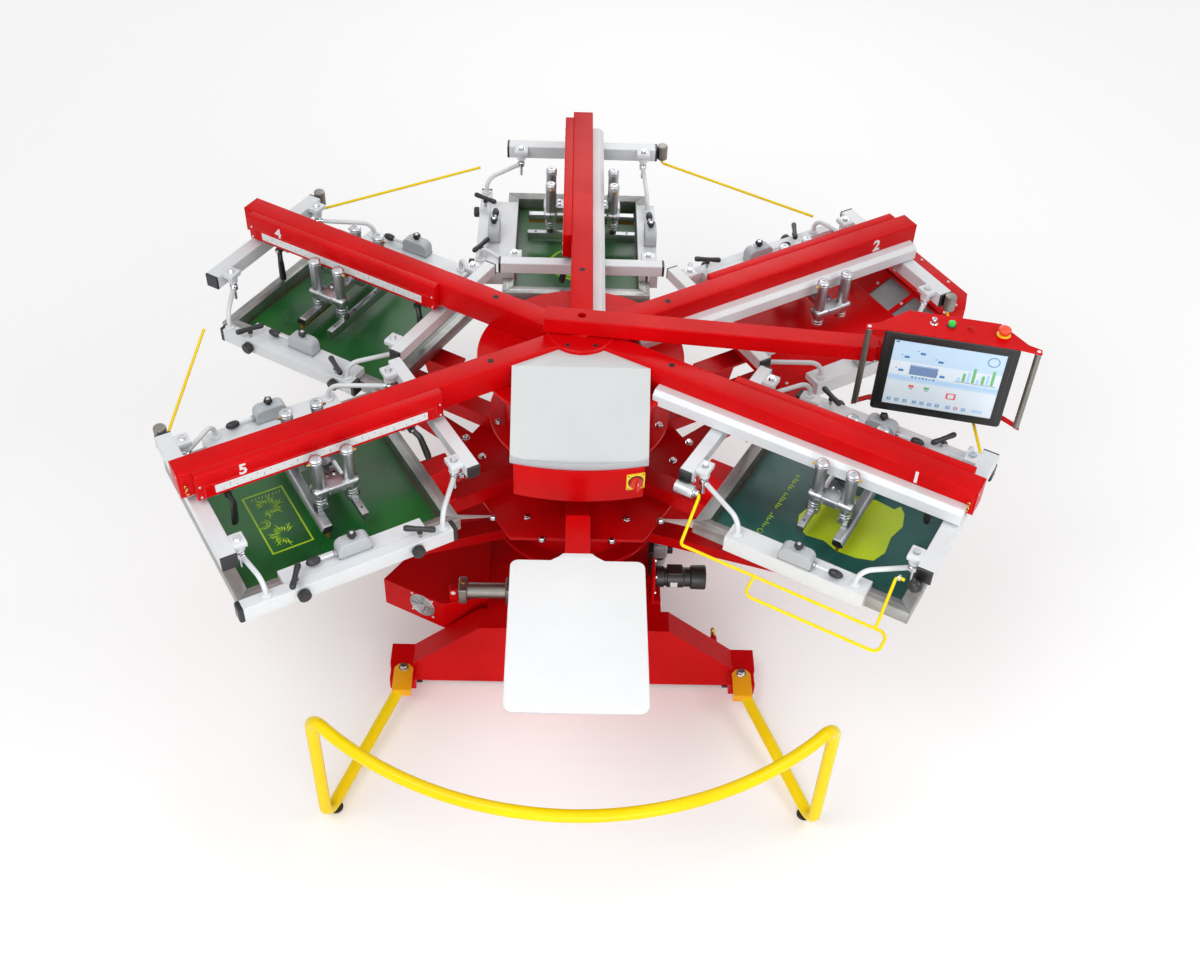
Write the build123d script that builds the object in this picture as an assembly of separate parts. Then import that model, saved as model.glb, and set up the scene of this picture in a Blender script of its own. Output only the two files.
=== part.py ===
from build123d import *
import os
from dataclasses import dataclass
from math import asin, cos, radians, sin, tan

# Automatic screen printing press: six pallets on a carousel under five print heads.
# Origin on the floor, on the machine's vertical axis. +Z is up, the load station is at -Y.
# A head or pallet is drawn along +X, outward, with +Y on its left, then turned to its angle.

os.makedirs("parts", exist_ok=True)

# Stations
station_count = 6
station_step = 360 / station_count
load_angle = -90

# Heights above the floor
beam_top = 1250
beam_height = 94
beam_width = 74
beam_wall = 4
beam_reach = 1340
rail_height = 16
rail_width = 34
slide_thickness = 8
pallet_top = 915
lift_travel = 22
off_contact = 1
mesh_thickness = 1
frame_height = 46
clamp_height = 25
beam_bottom = beam_top - beam_height
rail_bottom = beam_bottom - rail_height
bar_top = rail_bottom - slide_thickness
mesh_bottom = pallet_top + lift_travel + off_contact
frame_bottom = mesh_bottom + mesh_thickness
frame_top = frame_bottom + frame_height
clamp_top = frame_top + clamp_height

# Head hub, drum and hood
hub_radius = 110
disc_radius = 335
disc_gap = 0.3
disc_thickness = 12
drum_radius = 250
drum_bottom = 900
drum_flange_radius = 300
drum_flange_thickness = 12
hub_rise = 2
pivot_bore = 25
hood_width = 432
hood_back = -168
hood_front = -372
hood_top_gap = 12
hood_slope_bottom = 1052
hood_lip = 36
hood_bow = 28
hood_wall = 3
switch_box_width = 410
switch_box_bottom = 886
switch_box_setback = 8
switch_offset = 178
switch_height = 962
switch_plate_width = 60
switch_plate_height = 66
switch_knob_radius = 21
switch_knob_depth = 15
plate_thickness = 3

# Covers and rail on each beam
cover_width = 30
cover_inner = 522
cover_outer = 1300
cover_wall = 2.5
strip_length = 670
strip_height = 29
strip_rise = 11
strip_thickness = 1
rail_cover_width = 43
rail_cover_drop = 58
rail_cover_height = 52
rail_cover_inner = 178
rail_cover_hood_inner = 305
rail_cover_setback = 20
rail_cover_outer = beam_reach - rail_cover_setback
rail_cover_wall = 3
rail_inner = 470
beam_bolt_radius = 325
beam_bolt_hole = 7

# Screen holders
outer_bar_radius = 1295
outer_bar_size = 50
inner_bar_radius = 532
inner_bar_size = 42
bar_wall = 3
bar_half_length = 283
cap_thickness = 8
slide_reach = 112
slide_block = 50
slide_drop = 28
lever_hub_radius = 12
lever_hub_length = 26
lever_grip_radius = 9
lever_neck_radius = 6.5
lever_length = 125
boss_radius = 17
boss_offset = 236
boss_height = 42
collar_length = 56
collar_wall = 3
stud_radius = 6
stud_length = 112
bolt_head_radius = 11
stud_nut_height = 9
eye_radius = 14
eye_height = 20
eye_drop = 62
hanger_radius = 8
hanger_bend = 42
hanger_foot = 5
bend_chords = 1
left_outer_foot = 285
left_inner_foot = 276
right_outer_foot = 185
right_inner_foot = 195
clamp_length = 450
clamp_wall = 4
clamp_skirt = 30
left_clamp_outer = 345
right_clamp_outer = 361
channel_width = 40
channel_height = 45
channel_outer_reach = 360
channel_cut = 60
short_holder = 900
channel_wall = 3
clamp_cover_length = 104
clamp_cover_height = 46
clamp_cover_width = 44
cover_lever_length = 98
cover_lever_radius = 5
tee_spread = 194
tee_radius = 7
tee_stem_radius = 5
tee_length = 96
tee_rise = 34
tee_spacing = 45
round_knob_radius = 20
round_knob_length = 24
round_knob_outer = 185
round_knob_inner = 173
star_knob_radius = 15
star_knob_rise = 22
screen_bar = 40
mesh_margin = 8

# Print carriage, squeegee and flood bar
carriage_length = 160
carriage_width = 68
carriage_drop = 40
carriage_play = 0.3
yoke_width = 56
yoke_half_length = 142
yoke_thickness = 28
cylinder_radius = 20
rod_radius = 6
rod_play = 0.3
cylinder_bore = rod_radius + rod_play
cylinder_lateral = 115
cylinder_spread = 49
cylinder_top = 1216
cylinder_bottom = 1034
cylinder_dome = 6
print_travel = 26
squeegee_length = 400
squeegee_offset = 68
squeegee_width = 36
squeegee_height = 52
squeegee_blade = 9
squeegee_blade_drop = 20
flood_offset = 56
flood_width = 22
flood_height = 50
flood_blade = 3
bar_clearance = 1
grip_length = 34
grip_width = 30
grip_height = 24

# Flash unit
flash_inner = 610
flash_outer = 1455
flash_step = 1185
flash_half_width = 300
flash_chamfer = 62
flash_bottom = 946
flash_deck = frame_top - flash_bottom
flash_wall = 4
flash_raise = 96
flash_slope = 110
grille_width = 118
grille_length = 150
grille_gap = 26

# Column, carousel and pallets
column_radius = 100
sleeve_play = 0.3
sleeve_radius = 110
sleeve_flange_radius = 150
sleeve_flange_height = 14
hub_core_radius = 240
hub_bottom = 442
hub_foot_radius = 300
hub_foot_height = 14
hub_plate_radius = 440
hub_plate_height = 12
hub_ring_radius = 180
hub_ring_top = 850
lift_cylinder_radius = 26
lift_cylinder_top = 400
lift_rod_radius = 10
lift_rod_length = 56
lift_place = 126
pallet_arm_width = 74
pallet_arm_height = 60
pallet_arm_wall = 4
pallet_arm_top = 745
pallet_arm_reach = 1060
brace_height = 44
brace_start_top = 500
brace_meet = 1020
bracket_inner = 480
bracket_outer = 1050
bracket_flange = 76
bracket_flange_height = 10
bracket_web = 20
pallet_inner = 686
pallet_length = 557
pallet_width = 406
pallet_thickness = 18
pallet_corner = 22
pallet_neck = 30
hub_bolt_lateral = 114
hub_bolt_radius = 386
hub_bolt_ring = 330
hub_bolt_head = 11
hub_bolt_height = 9

# Base
base_half_width = 300
base_half_depth = 365
base_box_bottom = 200
base_box_top = 310
base_wall = 6
frame_depth = 90
frame_front = -455
frame_shoulder = 325
frame_slope_end = 560
frame_end = 640
foot_height = 110
frame_ground = 18
foot_plate_half = 42
foot_plate_inner = 300
foot_pad_height = 8
foot_stem_radius = 12
foot_x = 575
foot_tab_front = -525
column_flange_radius = 190
column_flange_height = 20
housing_bottom = 200
housing_top = 325
housing_back_x = 470
housing_back_y = 40
housing_left_x = 668
housing_left_y = 252
housing_front_x = 454
housing_front_y = 364
disc_cover_radius = 50
disc_cover_thickness = 6
disc_cover_share = 0.65
disc_cover_rise = 12
inlet_radius = 8
inlet_length = 38
index_cylinder_radius = 30
index_cylinder_length = 190
index_cylinder_height = 372
motor_radius = 37
motor_length = 150
motor_height = 400
anchor_hole = 7
anchor_y = 335

# Safety bar
bar_radius = 20
arc_chords = 14
bar_bend_chords = 4
pad_thickness = 6
pad_radius = 24
post_height = 567
arc_radius = 1111
arc_front = 1355
arc_half_angle = 42.5
top_bend = 60
bottom_bend = 55
bracket_bolt_x = 590
bracket_bolt_y = -476
bracket_thickness = 6
bracket_width = 66
bracket_length = 110

# Trip rods and hinged guard
sensor_radius = 20
sensor_length = 58
trip_rod_radius = 5
trip_rod_turn = 31.5
trip_rod_height = 1062
guard_radius = 5
guard_hinge_lateral = 310
guard_stub = 25
guard_hinge_height = 1086
guard_lateral = 418
guard_height = 966
guard_inner_gap = 64
guard_outer_gap = 69
guard_inner = inner_bar_radius + guard_inner_gap
guard_outer = outer_bar_radius - guard_outer_gap
loop_lateral = 486
loop_height = 951
loop_setback = 246
loop_inner = guard_inner + loop_setback
loop_bend = 38

# Control arm and panel
control_angle = -6.1
control_width = 68
control_height = 56
control_back = 118
control_reach = 925
swivel_reach = 955
swivel_radius = 24
swivel_pin = 12
swivel_plate = 8
control_washer = 3
pivot_pin_radius = 24.7
pivot_pin_length = 60
panel_turn = -11.9
panel_x = 1127
panel_y = -199
panel_bottom = 1089
panel_width = 410
panel_height = 315
bezel_depth = 24
screen_margin_x = 34
screen_margin_y = 30
panel_back_depth = 86
panel_back_width = 300
panel_shelf_width = 452
panel_shelf_thickness = 6
handle_spread = 510
handle_radius = 10
handle_length = 300
ear_thickness = 6
housing_floor = 9
button_radius = 11
stop_radius = 20
button_height = 12
button_travel = 4
running_gap = 0.3


@dataclass
class Head:
    angle: float
    holder: float
    carriage: float
    frame_length: float
    frame_width: float
    frame_shift: float
    channel_start: float
    trip_rod: float
    prints: bool


# Each head's slide positions, as they are set in the photographed state
heads = {
    1: Head(-30, 935, 942, 700, 664, 0, 640, 0, True),
    2: Head(30, 935, 930, 700, 664, 0, 640, 750, False),
    3: Head(90, 850, 942, 640, 530, 16, 672, 655, True),
    4: Head(150, 885, 930, 690, 664, 0, 650, 650, True),
    5: Head(210, 945, 909, 700, 664, 0, 652, 570, True),
}
frame_offset = 8

ON_FACE = (Align.CENTER, Align.CENTER, Align.MIN)


def block(x, y, z):
    size = (x[1] - x[0], y[1] - y[0], z[1] - z[0])
    middle = ((x[0] + x[1]) / 2, (y[0] + y[1]) / 2, (z[0] + z[1]) / 2)
    return Pos(*middle) * Box(*size)


def round_face(radius):
    # round pieces that nothing turns in have flats, so that the whole machine stays light
    sides = 6 if radius < 9 else 8 if radius < 26 else 12 if radius < 60 else 24
    return RegularPolygon(radius, sides)


def post(x, y, z, radius):
    return Pos(x, y, z[0]) * extrude(round_face(radius), z[1] - z[0])


def turning_post(x, y, z, radius):
    return Pos(x, y, z[0]) * Cylinder(radius, z[1] - z[0], align=ON_FACE)


def turning_bar(start, end, radius):
    span = Vector(*end) - Vector(*start)
    return Plane(origin=start, z_dir=span) * Cylinder(radius, span.length, align=ON_FACE)


def bar_between(start, end, radius):
    span = Vector(*end) - Vector(*start)
    plane = Plane(origin=start, z_dir=span)
    return plane * extrude(round_face(radius), span.length)


def run_along_x(points, x):
    outline = Plane.YZ.offset(x[0]) * Polygon(*points, align=None)
    return extrude(outline, amount=x[1] - x[0], dir=(1, 0, 0))


def run_along_y(points, y):
    outline = Plane.XZ.offset(-y[0]) * Polygon(*points, align=None)
    return extrude(outline, amount=y[1] - y[0], dir=(0, 1, 0))


def run_up(points, z):
    outline = Plane.XY.offset(z[0]) * Polygon(*points, align=None)
    return extrude(outline, amount=z[1] - z[0], dir=(0, 0, 1))


def softened(points, bend, chords):
    # the points with each corner turned into a few chords of its bend
    points = [Vector(*point) for point in points]
    result = [points[0]]
    for before, corner, after in zip(points, points[1:], points[2:]):
        into = (corner - before).normalized()
        out = (after - corner).normalized()
        turn = radians(into.get_angle(out))
        centre = corner + (out - into).normalized() * (bend / cos(turn / 2))
        setback = bend * tan(turn / 2)
        first = corner - into * setback - centre
        last = corner + out * setback - centre
        for step in range(chords + 1):
            share = step / chords * turn
            result.append(centre + (first * sin(turn - share) + last * sin(share)) * (1 / sin(turn)))
    return [*result, points[-1]]


def tube_along(points, radius):
    section = Plane(origin=points[0], z_dir=points[1] - points[0]) * round_face(radius)
    return sweep(section, path=Polyline(*points), transition=Transition.RIGHT)


def bent_rod(points, bend, radius):
    return tube_along(softened(points, bend, bend_chords), radius)


def turned(shapes, angle):
    return [Rot(0, 0, angle) * shape for shape in shapes]


def at_radius(shape, radius):
    return Pos(radius, 0, 0) * shape


def mirrored(shape):
    return mirror(shape, about=Plane.XZ)


def write(node, shapes):
    solids = [solid for shape in shapes for solid in shape.solids()]
    export_step(Compound(children=solids), f"parts/{node}.step")


def print_heads():
    return {number: head for number, head in heads.items() if head.prints}


# Beams and head hub
def arm_beam():
    half = beam_width / 2
    body = block((hub_radius - beam_wall * 6, beam_reach), (-half, half), (beam_bottom, beam_top))
    edges = body.edges().filter_by(Axis.X)
    body = chamfer(edges, beam_wall * 0.6)
    inside = block(
        (hub_radius - beam_wall * 7, beam_reach - beam_wall),
        (beam_wall - half, half - beam_wall),
        (beam_bottom + beam_wall, beam_top - beam_wall),
    )
    body -= inside
    body -= post(0, 0, (beam_bottom - 1, beam_top + 1), hub_radius)
    body -= post(beam_bolt_radius, 0, (beam_top - 2 * beam_wall, beam_top + 1), beam_bolt_hole)
    return body


def head_drum():
    disc_bottom = beam_bottom - disc_thickness
    flange_top = drum_bottom + drum_flange_thickness
    drum = post(0, 0, (drum_bottom, disc_bottom), drum_radius)
    drum += post(0, 0, (disc_bottom, beam_bottom), disc_radius)
    drum += post(0, 0, (drum_bottom, flange_top), drum_flange_radius)
    hub = post(0, 0, (beam_bottom, beam_top + hub_rise), hub_radius)
    hub = chamfer(hub.edges().group_by(Axis.Z)[-1], hub_rise)
    drum += hub
    hood_side = hood_width / 2 + disc_gap
    drum -= block((-hood_side, hood_side), (-disc_radius, -drum_radius), (disc_bottom, beam_bottom))
    cavity = post(0, 0, (flange_top, disc_bottom - disc_thickness), drum_radius - disc_thickness)
    drum -= cavity
    drum -= turning_post(0, 0, (beam_bottom, beam_top + hub_rise + 1), pivot_bore)
    return drum


def drum_bolts():
    top = drum_bottom + drum_flange_thickness
    reach = (drum_radius + drum_flange_radius) / 2
    bolt = Pos(reach, 0, top) * extrude(RegularPolygon(hub_bolt_head, 6), hub_bolt_height)
    return [Rot(0, 0, angle) * bolt for angle in range(30, 390, 30)]


# Covers, rails and strips of a beam
def ruler_cover():
    inner = beam_width / 2
    outer = inner + cover_width
    body = block((cover_inner, cover_outer), (inner, outer), (beam_bottom, beam_top))
    outside = body.edges().filter_by(Axis.X).group_by(Axis.Y)[-1]
    body = chamfer(outside, cover_wall * 0.8)
    body -= block(
        (cover_inner + cover_wall, cover_outer - cover_wall),
        (inner - 1, outer - cover_wall),
        (beam_bottom + cover_wall, beam_top - cover_wall),
    )
    return body


def ruler_strip():
    face = beam_width / 2 + cover_width
    middle = (cover_inner + cover_outer) / 2
    bottom = beam_bottom + strip_rise
    return block(
        (middle - strip_length / 2, middle + strip_length / 2),
        (face, face + strip_thickness),
        (bottom, bottom + strip_height),
    )


def rail_cover(inner_end):
    side = -beam_width / 2
    edge = side - rail_cover_width
    top = beam_top - rail_cover_drop
    bottom = top - rail_cover_height
    slope = rail_cover_width / 3

    def outline(inset):
        return [
            (side + (1 if inset else 0), bottom + inset),
            (edge + inset, bottom + inset),
            (edge + inset, top - slope - inset / 2),
            (edge + slope + inset / 2, top - inset),
            (side + (1 if inset else 0), top - inset),
        ]

    shell = run_along_x(outline(0), (inner_end, rail_cover_outer))
    room = (inner_end + rail_cover_wall, rail_cover_outer - rail_cover_wall)
    shell -= run_along_x(outline(rail_cover_wall), room)
    return shell - post(0, 0, (bottom - 1, beam_bottom + disc_gap), disc_radius + disc_gap)


def carriage_rail():
    half = rail_width / 2
    return block((rail_inner, beam_reach - beam_wall), (-half, half), (rail_bottom, beam_bottom))


# Cross bars and what clamps them to the rail
def crossbar(radius, size):
    half = size / 2
    ends = (-bar_half_length, bar_half_length)
    bar = block((radius - half, radius + half), ends, (bar_top - size, bar_top))
    bar = chamfer(bar.edges().filter_by(Axis.Y), bar_wall * 0.6)
    inside = half - bar_wall
    bar -= block(
        (radius - inside, radius + inside),
        (-bar_half_length - 1, bar_half_length + 1),
        (bar_top - size + bar_wall, bar_top - bar_wall),
    )
    return bar


def bar_cap(radius, size, side):
    half = size / 2
    face = side * bar_half_length
    span = sorted((face, face + side * cap_thickness))
    cap = block((radius - half, radius + half), span, (bar_top - size, bar_top))
    outer = cap.faces().sort_by(Axis.Y)[-1 if side > 0 else 0]
    return chamfer(outer.edges(), cap_thickness / 3)


def slide_clamp(radius, size, direction):
    half = rail_width / 2 + carriage_play
    back = radius + direction * size / 2
    front = radius - direction * slide_reach
    shoulder = front + direction * slide_block
    points = [
        (front, bar_top - slide_drop),
        (shoulder, bar_top - slide_drop),
        (shoulder, bar_top),
        (back, bar_top),
        (back, rail_bottom),
        (front, rail_bottom),
    ]
    return run_along_y(points, (-half, half))


def clamp_lever(radius, direction, lean):
    face = rail_width / 2 + carriage_play
    middle = radius - direction * (slide_reach - slide_block / 2)
    height = bar_top - slide_drop / 2
    hub = bar_between((middle, face, height), (middle, face + lever_hub_length, height), lever_hub_radius)
    root = Vector(middle, face + lever_hub_length / 2, height)
    away = Vector(0, sin(radians(lean)), -cos(radians(lean)))
    neck = Plane(origin=root, z_dir=away)
    tip = neck.offset(lever_length)
    grip = loft([neck * RegularPolygon(lever_neck_radius, 6), tip * RegularPolygon(lever_grip_radius, 6)])
    return hub + grip


# Bosses, studs and hanger rods
def boss_place(radius, size, direction):
    return radius - direction * (size / 2 + collar_wall + boss_radius)


def collar_boss(radius, size, direction, side):
    half = size / 2
    reach = half + collar_wall
    low, high = sorted((side * (boss_offset - collar_length / 2), side * (boss_offset + collar_length / 2)))
    heights = (bar_top - size - collar_wall, bar_top + collar_wall)
    collar = block((radius - reach, radius + reach), (low, high), heights)
    collar -= block((radius - half, radius + half), (low - 1, high + 1), (bar_top - size, bar_top))
    place = boss_place(radius, size, direction)
    boss = post(place, side * boss_offset, (bar_top - boss_height, bar_top + collar_wall), boss_radius)
    web = block(
        sorted((place, radius - direction * half)),
        (side * boss_offset - boss_radius * 0.7, side * boss_offset + boss_radius * 0.7),
        (bar_top - boss_height, bar_top + collar_wall),
    )
    through = (bar_top - boss_height - 1, bar_top + 2 * collar_wall)
    bore = post(place, side * boss_offset, through, stud_radius)
    return collar + boss + web - bore


def boss_stud(radius, size, direction, side):
    place = boss_place(radius, size, direction)
    lateral = side * boss_offset
    top = bar_top + collar_wall
    stud = post(place, lateral, (top - stud_length, top), stud_radius)
    head = Pos(place, lateral, top) * extrude(RegularPolygon(bolt_head_radius, 6), bolt_head_radius)
    nut_bottom = bar_top - eye_drop + eye_height / 2
    nut = Pos(place, lateral, nut_bottom) * extrude(RegularPolygon(bolt_head_radius, 6), stud_nut_height)
    return stud + head + nut


def hanger(radius, size, direction, side, foot_x_place, foot_y_place):
    place = boss_place(radius, size, direction)
    height = bar_top - eye_drop
    eye_at = Vector(place, side * boss_offset, height)
    foot_at = Vector(foot_x_place, foot_y_place, clamp_top + hanger_foot)
    flat = Vector(foot_at.X - eye_at.X, foot_at.Y - eye_at.Y, 0).normalized()
    start = eye_at + flat * (eye_radius - 2)
    corner = Vector(foot_at.X, foot_at.Y, height)
    rod = bent_rod([start, corner, foot_at], hanger_bend, hanger_radius)
    eye = post(eye_at.X, eye_at.Y, (height - eye_height / 2, height + eye_height / 2), eye_radius)
    foot = post(foot_at.X, foot_at.Y, (clamp_top, foot_at.Z), hanger_radius * 2)
    bore = post(eye_at.X, eye_at.Y, (height - eye_height, height + eye_height), stud_radius)
    return rod + eye + foot - bore


# Side clamps that hold a screen
def clamp_box(head, side):
    outer = left_clamp_outer if side > 0 else right_side(head)
    inner = frame_edge(head, side) - screen_bar
    edge = frame_edge(head, side) + 2
    skirt = frame_top - clamp_skirt
    top = clamp_top
    points = [
        (inner, top),
        (outer, top),
        (outer, skirt),
        (edge, skirt),
        (edge, frame_top),
        (inner, frame_top),
    ]
    wall = clamp_wall
    room = [
        (inner + wall, top - wall),
        (outer - wall, top - wall),
        (outer - wall, skirt + wall),
        (edge + wall / 2, skirt + wall),
        (edge + wall / 2, frame_top + wall),
        (inner + wall, frame_top + wall),
    ]
    ends = (head.holder - clamp_length / 2, head.holder + clamp_length / 2)
    body = run_along_x(points, ends)
    if outer - edge > 3 * wall:
        body -= run_along_x(room, (ends[0] + wall, ends[1] - wall))
    return body if side > 0 else mirrored(body)


def frame_edge(head, side):
    return head.frame_width / 2 + side * head.frame_shift


def right_side(head):
    return frame_edge(head, -1) + right_clamp_outer - heads[1].frame_width / 2


def side_channel(head):
    start = head.channel_start
    end = head.holder + channel_outer_reach - (channel_cut if head.holder < short_holder else 0)
    y = (left_clamp_outer, left_clamp_outer + channel_width)
    z = (clamp_top - channel_height - channel_wall * 2, clamp_top)
    tube = block((start, end), y, z)
    tube = chamfer(tube.edges().filter_by(Axis.X), channel_wall * 0.6)
    tube -= block(
        (start - 1, end + 1),
        (y[0] + channel_wall, y[1] - channel_wall),
        (z[0] + channel_wall, z[1] - channel_wall),
    )
    return tube, (start, end), y, z


def channel_cap(x, y, z, direction):
    span = sorted((x, x + direction * cap_thickness * 2))
    cap = block(span, y, z)
    outer = cap.faces().sort_by(Axis.X)[-1 if direction > 0 else 0]
    return chamfer(outer.edges(), cap_thickness / 2)


def clamp_cover(head, side):
    outer = left_clamp_outer if side > 0 else right_side(head)
    half = clamp_cover_length / 2
    y = (outer - clamp_cover_width, outer - 1)
    body = block((head.holder - half, head.holder + half), y, (clamp_top, clamp_top + clamp_cover_height))
    body = chamfer(body.edges().filter_by(Axis.Z), clamp_cover_width * 0.3)
    body = chamfer(body.faces().sort_by(Axis.Z)[-1].edges(), clamp_cover_height * 0.2)
    return body if side > 0 else mirrored(body)


def cover_lever(head, side):
    outer = left_clamp_outer if side > 0 else right_side(head)
    lateral = side * (outer - clamp_cover_width / 2)
    height = clamp_top + clamp_cover_height * 0.4
    start = (head.holder + clamp_cover_length / 2 + running_gap, lateral, height)
    end = (start[0] + cover_lever_length * 0.55, lateral, start[2])
    tip = (start[0] + cover_lever_length, lateral, start[2])
    arm = bar_between(start, end, cover_lever_radius)
    grip = bar_between(end, tip, cover_lever_radius * 2)
    return arm + grip


def star_knob(head, side):
    outer = left_clamp_outer if side > 0 else right_side(head)
    lateral = side * (outer - clamp_cover_width / 2)
    base = clamp_top + clamp_cover_height
    stem = post(head.holder, lateral, (base, base + star_knob_rise / 2), star_knob_radius * 0.45)
    grip = Pos(head.holder, lateral, base + star_knob_rise / 2) * extrude(
        RegularPolygon(star_knob_radius, 5), star_knob_rise / 2
    )
    return stem + grip


def tee_handle(x):
    lateral = left_clamp_outer + channel_width / 2
    stem = post(x, lateral, (clamp_top, clamp_top + tee_rise), tee_stem_radius)
    height = clamp_top + tee_rise
    reach = tee_length / 2
    start = (x - reach * 0.5, lateral - reach * 0.8, height)
    end = (x + reach * 0.5, lateral + reach * 0.8, height)
    bar = bar_between(start, end, tee_radius)
    return stem + bar


def round_knob(x):
    face = left_clamp_outer + channel_width
    height = clamp_top - channel_height / 2
    return bar_between((x, face, height), (x, face + round_knob_length, height), round_knob_radius)


# Screens
def screen_frame(head):
    middle = head.holder + frame_offset
    half = head.frame_length / 2
    left = frame_edge(head, 1)
    right = frame_edge(head, -1)
    outer = block((middle - half, middle + half), (-right, left), (frame_bottom, frame_top))
    hole = block(
        (middle - half + screen_bar, middle + half - screen_bar),
        (screen_bar - right, left - screen_bar),
        (frame_bottom - 1, frame_top + 1),
    )
    return outer - hole


def screen_mesh(head):
    middle = head.holder + frame_offset
    half = head.frame_length / 2 - mesh_margin
    left = frame_edge(head, 1) - mesh_margin
    right = frame_edge(head, -1) - mesh_margin
    return block((middle - half, middle + half), (-right, left), (mesh_bottom, frame_bottom))


# Print carriage: a slide on the rail, a yoke and four air cylinders
def carriage():
    half = carriage_length / 2
    inner = rail_width / 2 + carriage_play
    outer = carriage_width / 2
    floor = rail_bottom - carriage_play
    low = rail_bottom - carriage_drop
    lip = beam_bottom - carriage_play * 4
    saddle = [
        (-outer, low),
        (outer, low),
        (outer, lip),
        (inner, lip),
        (inner, floor),
        (-inner, floor),
        (-inner, lip),
        (-outer, lip),
    ]
    body = run_along_x(saddle, (-half, half))
    yoke_top = low
    yoke = block(
        (-yoke_width / 2, yoke_width / 2),
        (-yoke_half_length, yoke_half_length),
        (yoke_top - yoke_thickness, yoke_top),
    )
    body += chamfer(yoke.edges().filter_by(Axis.Z), yoke_width / 6)
    reach = cylinder_spread + cylinder_radius + 4
    for side in (-1, 1):
        lateral = side * cylinder_lateral
        clasp = block(
            (-reach, reach),
            (lateral - cylinder_radius - 4, lateral + cylinder_radius + 4),
            (yoke_top - yoke_thickness, yoke_top),
        )
        body += chamfer(clasp.edges().filter_by(Axis.Z), cylinder_radius * 0.5)
        for place in (-cylinder_spread, cylinder_spread):
            body -= post(place, lateral, (yoke_top - yoke_thickness - 1, yoke_top + 1), cylinder_radius)
    places = (-cylinder_spread, cylinder_spread)
    cylinders = [air_cylinder(place, side * cylinder_lateral) for place in places for side in (-1, 1)]
    return [body, *cylinders]


def air_cylinder(x, y):
    body = post(x, y, (cylinder_bottom, cylinder_top), cylinder_radius)
    body = chamfer(body.edges().group_by(Axis.Z)[-1], cylinder_dome)
    stroke_room = rod_reach() + print_travel
    return body - post(x, y, (cylinder_bottom - 1, cylinder_bottom + stroke_room), cylinder_bore)


def rod_reach():
    return print_travel * 2


def rods_and_grips(offset, lower_top):
    pieces = []
    for side in (-1, 1):
        lateral = side * cylinder_lateral
        place = cylinder_spread if offset > 0 else -cylinder_spread
        rod = post(place, lateral, (lower_top, cylinder_bottom + rod_reach()), rod_radius)
        half = grip_length / 2
        grip = block(
            (place - half, place + half),
            (lateral - grip_width / 2, lateral + grip_width / 2),
            (lower_top, lower_top + grip_height - bar_clearance),
        )
        grip = chamfer(grip.edges().filter_by(Axis.Z), grip_width / 6)
        pieces.append(rod + grip)
    return pieces


def squeegee():
    lift = frame_bottom + print_travel + bar_clearance
    blade_top = lift + squeegee_blade_drop
    top = cylinder_bottom - grip_height
    half = squeegee_width / 2
    holder = [
        (squeegee_offset - half, top),
        (squeegee_offset + half * 0.4, top),
        (squeegee_offset + half, top - squeegee_height * 0.35),
        (squeegee_offset + half * 0.45, blade_top),
        (squeegee_offset - half * 0.45, blade_top),
        (squeegee_offset - half, top - squeegee_height * 0.35),
    ]
    ends = (-squeegee_length / 2, squeegee_length / 2)
    body = run_along_y(holder, ends)
    blade = squeegee_blade / 2
    body += block((squeegee_offset - blade, squeegee_offset + blade), ends, (lift, blade_top + blade))
    for piece in rods_and_grips(squeegee_offset, top):
        body += piece
    return body


def flood_bar():
    lift = frame_bottom + print_travel + 2 * bar_clearance
    top = cylinder_bottom - grip_height
    half = flood_width / 2
    holder = [
        (-flood_offset - half, top),
        (-flood_offset + half, top),
        (-flood_offset + half, top - flood_height * 0.4),
        (-flood_offset + flood_blade, top - flood_height * 0.6),
        (-flood_offset + flood_blade, lift + flood_blade * 2),
        (-flood_offset - flood_blade, lift),
        (-flood_offset - flood_blade, top - flood_height * 0.6),
        (-flood_offset - half, top - flood_height * 0.4),
    ]
    body = run_along_y(holder, (-squeegee_length / 2, squeegee_length / 2))
    for piece in rods_and_grips(-flood_offset, top):
        body += piece
    return body


# Flash unit in place of a screen on the second head
def flash_outline(reach, inset):
    half = flash_half_width - inset
    return [
        (flash_inner + inset, -half),
        (reach - flash_chamfer - inset, -half),
        (reach - inset, -half + flash_chamfer),
        (reach - inset, half - flash_chamfer),
        (reach - flash_chamfer - inset, half),
        (flash_inner + inset, half),
    ]


def flash_housing():
    deck = flash_bottom + flash_deck
    top = flash_bottom + flash_raise
    body = run_up(flash_outline(flash_outer, 0), (flash_bottom, top))
    half = flash_half_width
    over = [
        (flash_inner - 1, deck),
        (flash_step, deck),
        (flash_step + flash_slope, top - 8),
        (flash_step + flash_slope, top + 1),
        (flash_inner - 1, top + 1),
    ]
    body -= run_along_y(over, (-half - 1, half + 1))
    wall = flash_wall
    room = run_up(flash_outline(flash_outer, wall), (flash_bottom - 1, top - wall))
    over[1] = (flash_step, deck - wall)
    over[0] = (flash_inner - 1, deck - wall)
    over[2] = (flash_step + flash_slope, top - 8 - wall)
    room -= run_along_y(over, (-half - 1, half + 1))
    body -= room
    for grille in grille_spans():
        body -= block(grille[0], grille[1], (top - wall - 1, top + 1))
    return body


def flash_heater():
    return run_up(flash_outline(flash_outer, flash_wall), (flash_bottom, flash_bottom + flash_wall))


def grille_spans():
    start = flash_step + flash_slope + 4
    spans = []
    for index in (-1, 0):
        low = index * (grille_width + grille_gap) + grille_gap / 2 - 20
        spans.append(((start, start + grille_length - 12), (low, low + grille_width)))
    return spans


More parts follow.
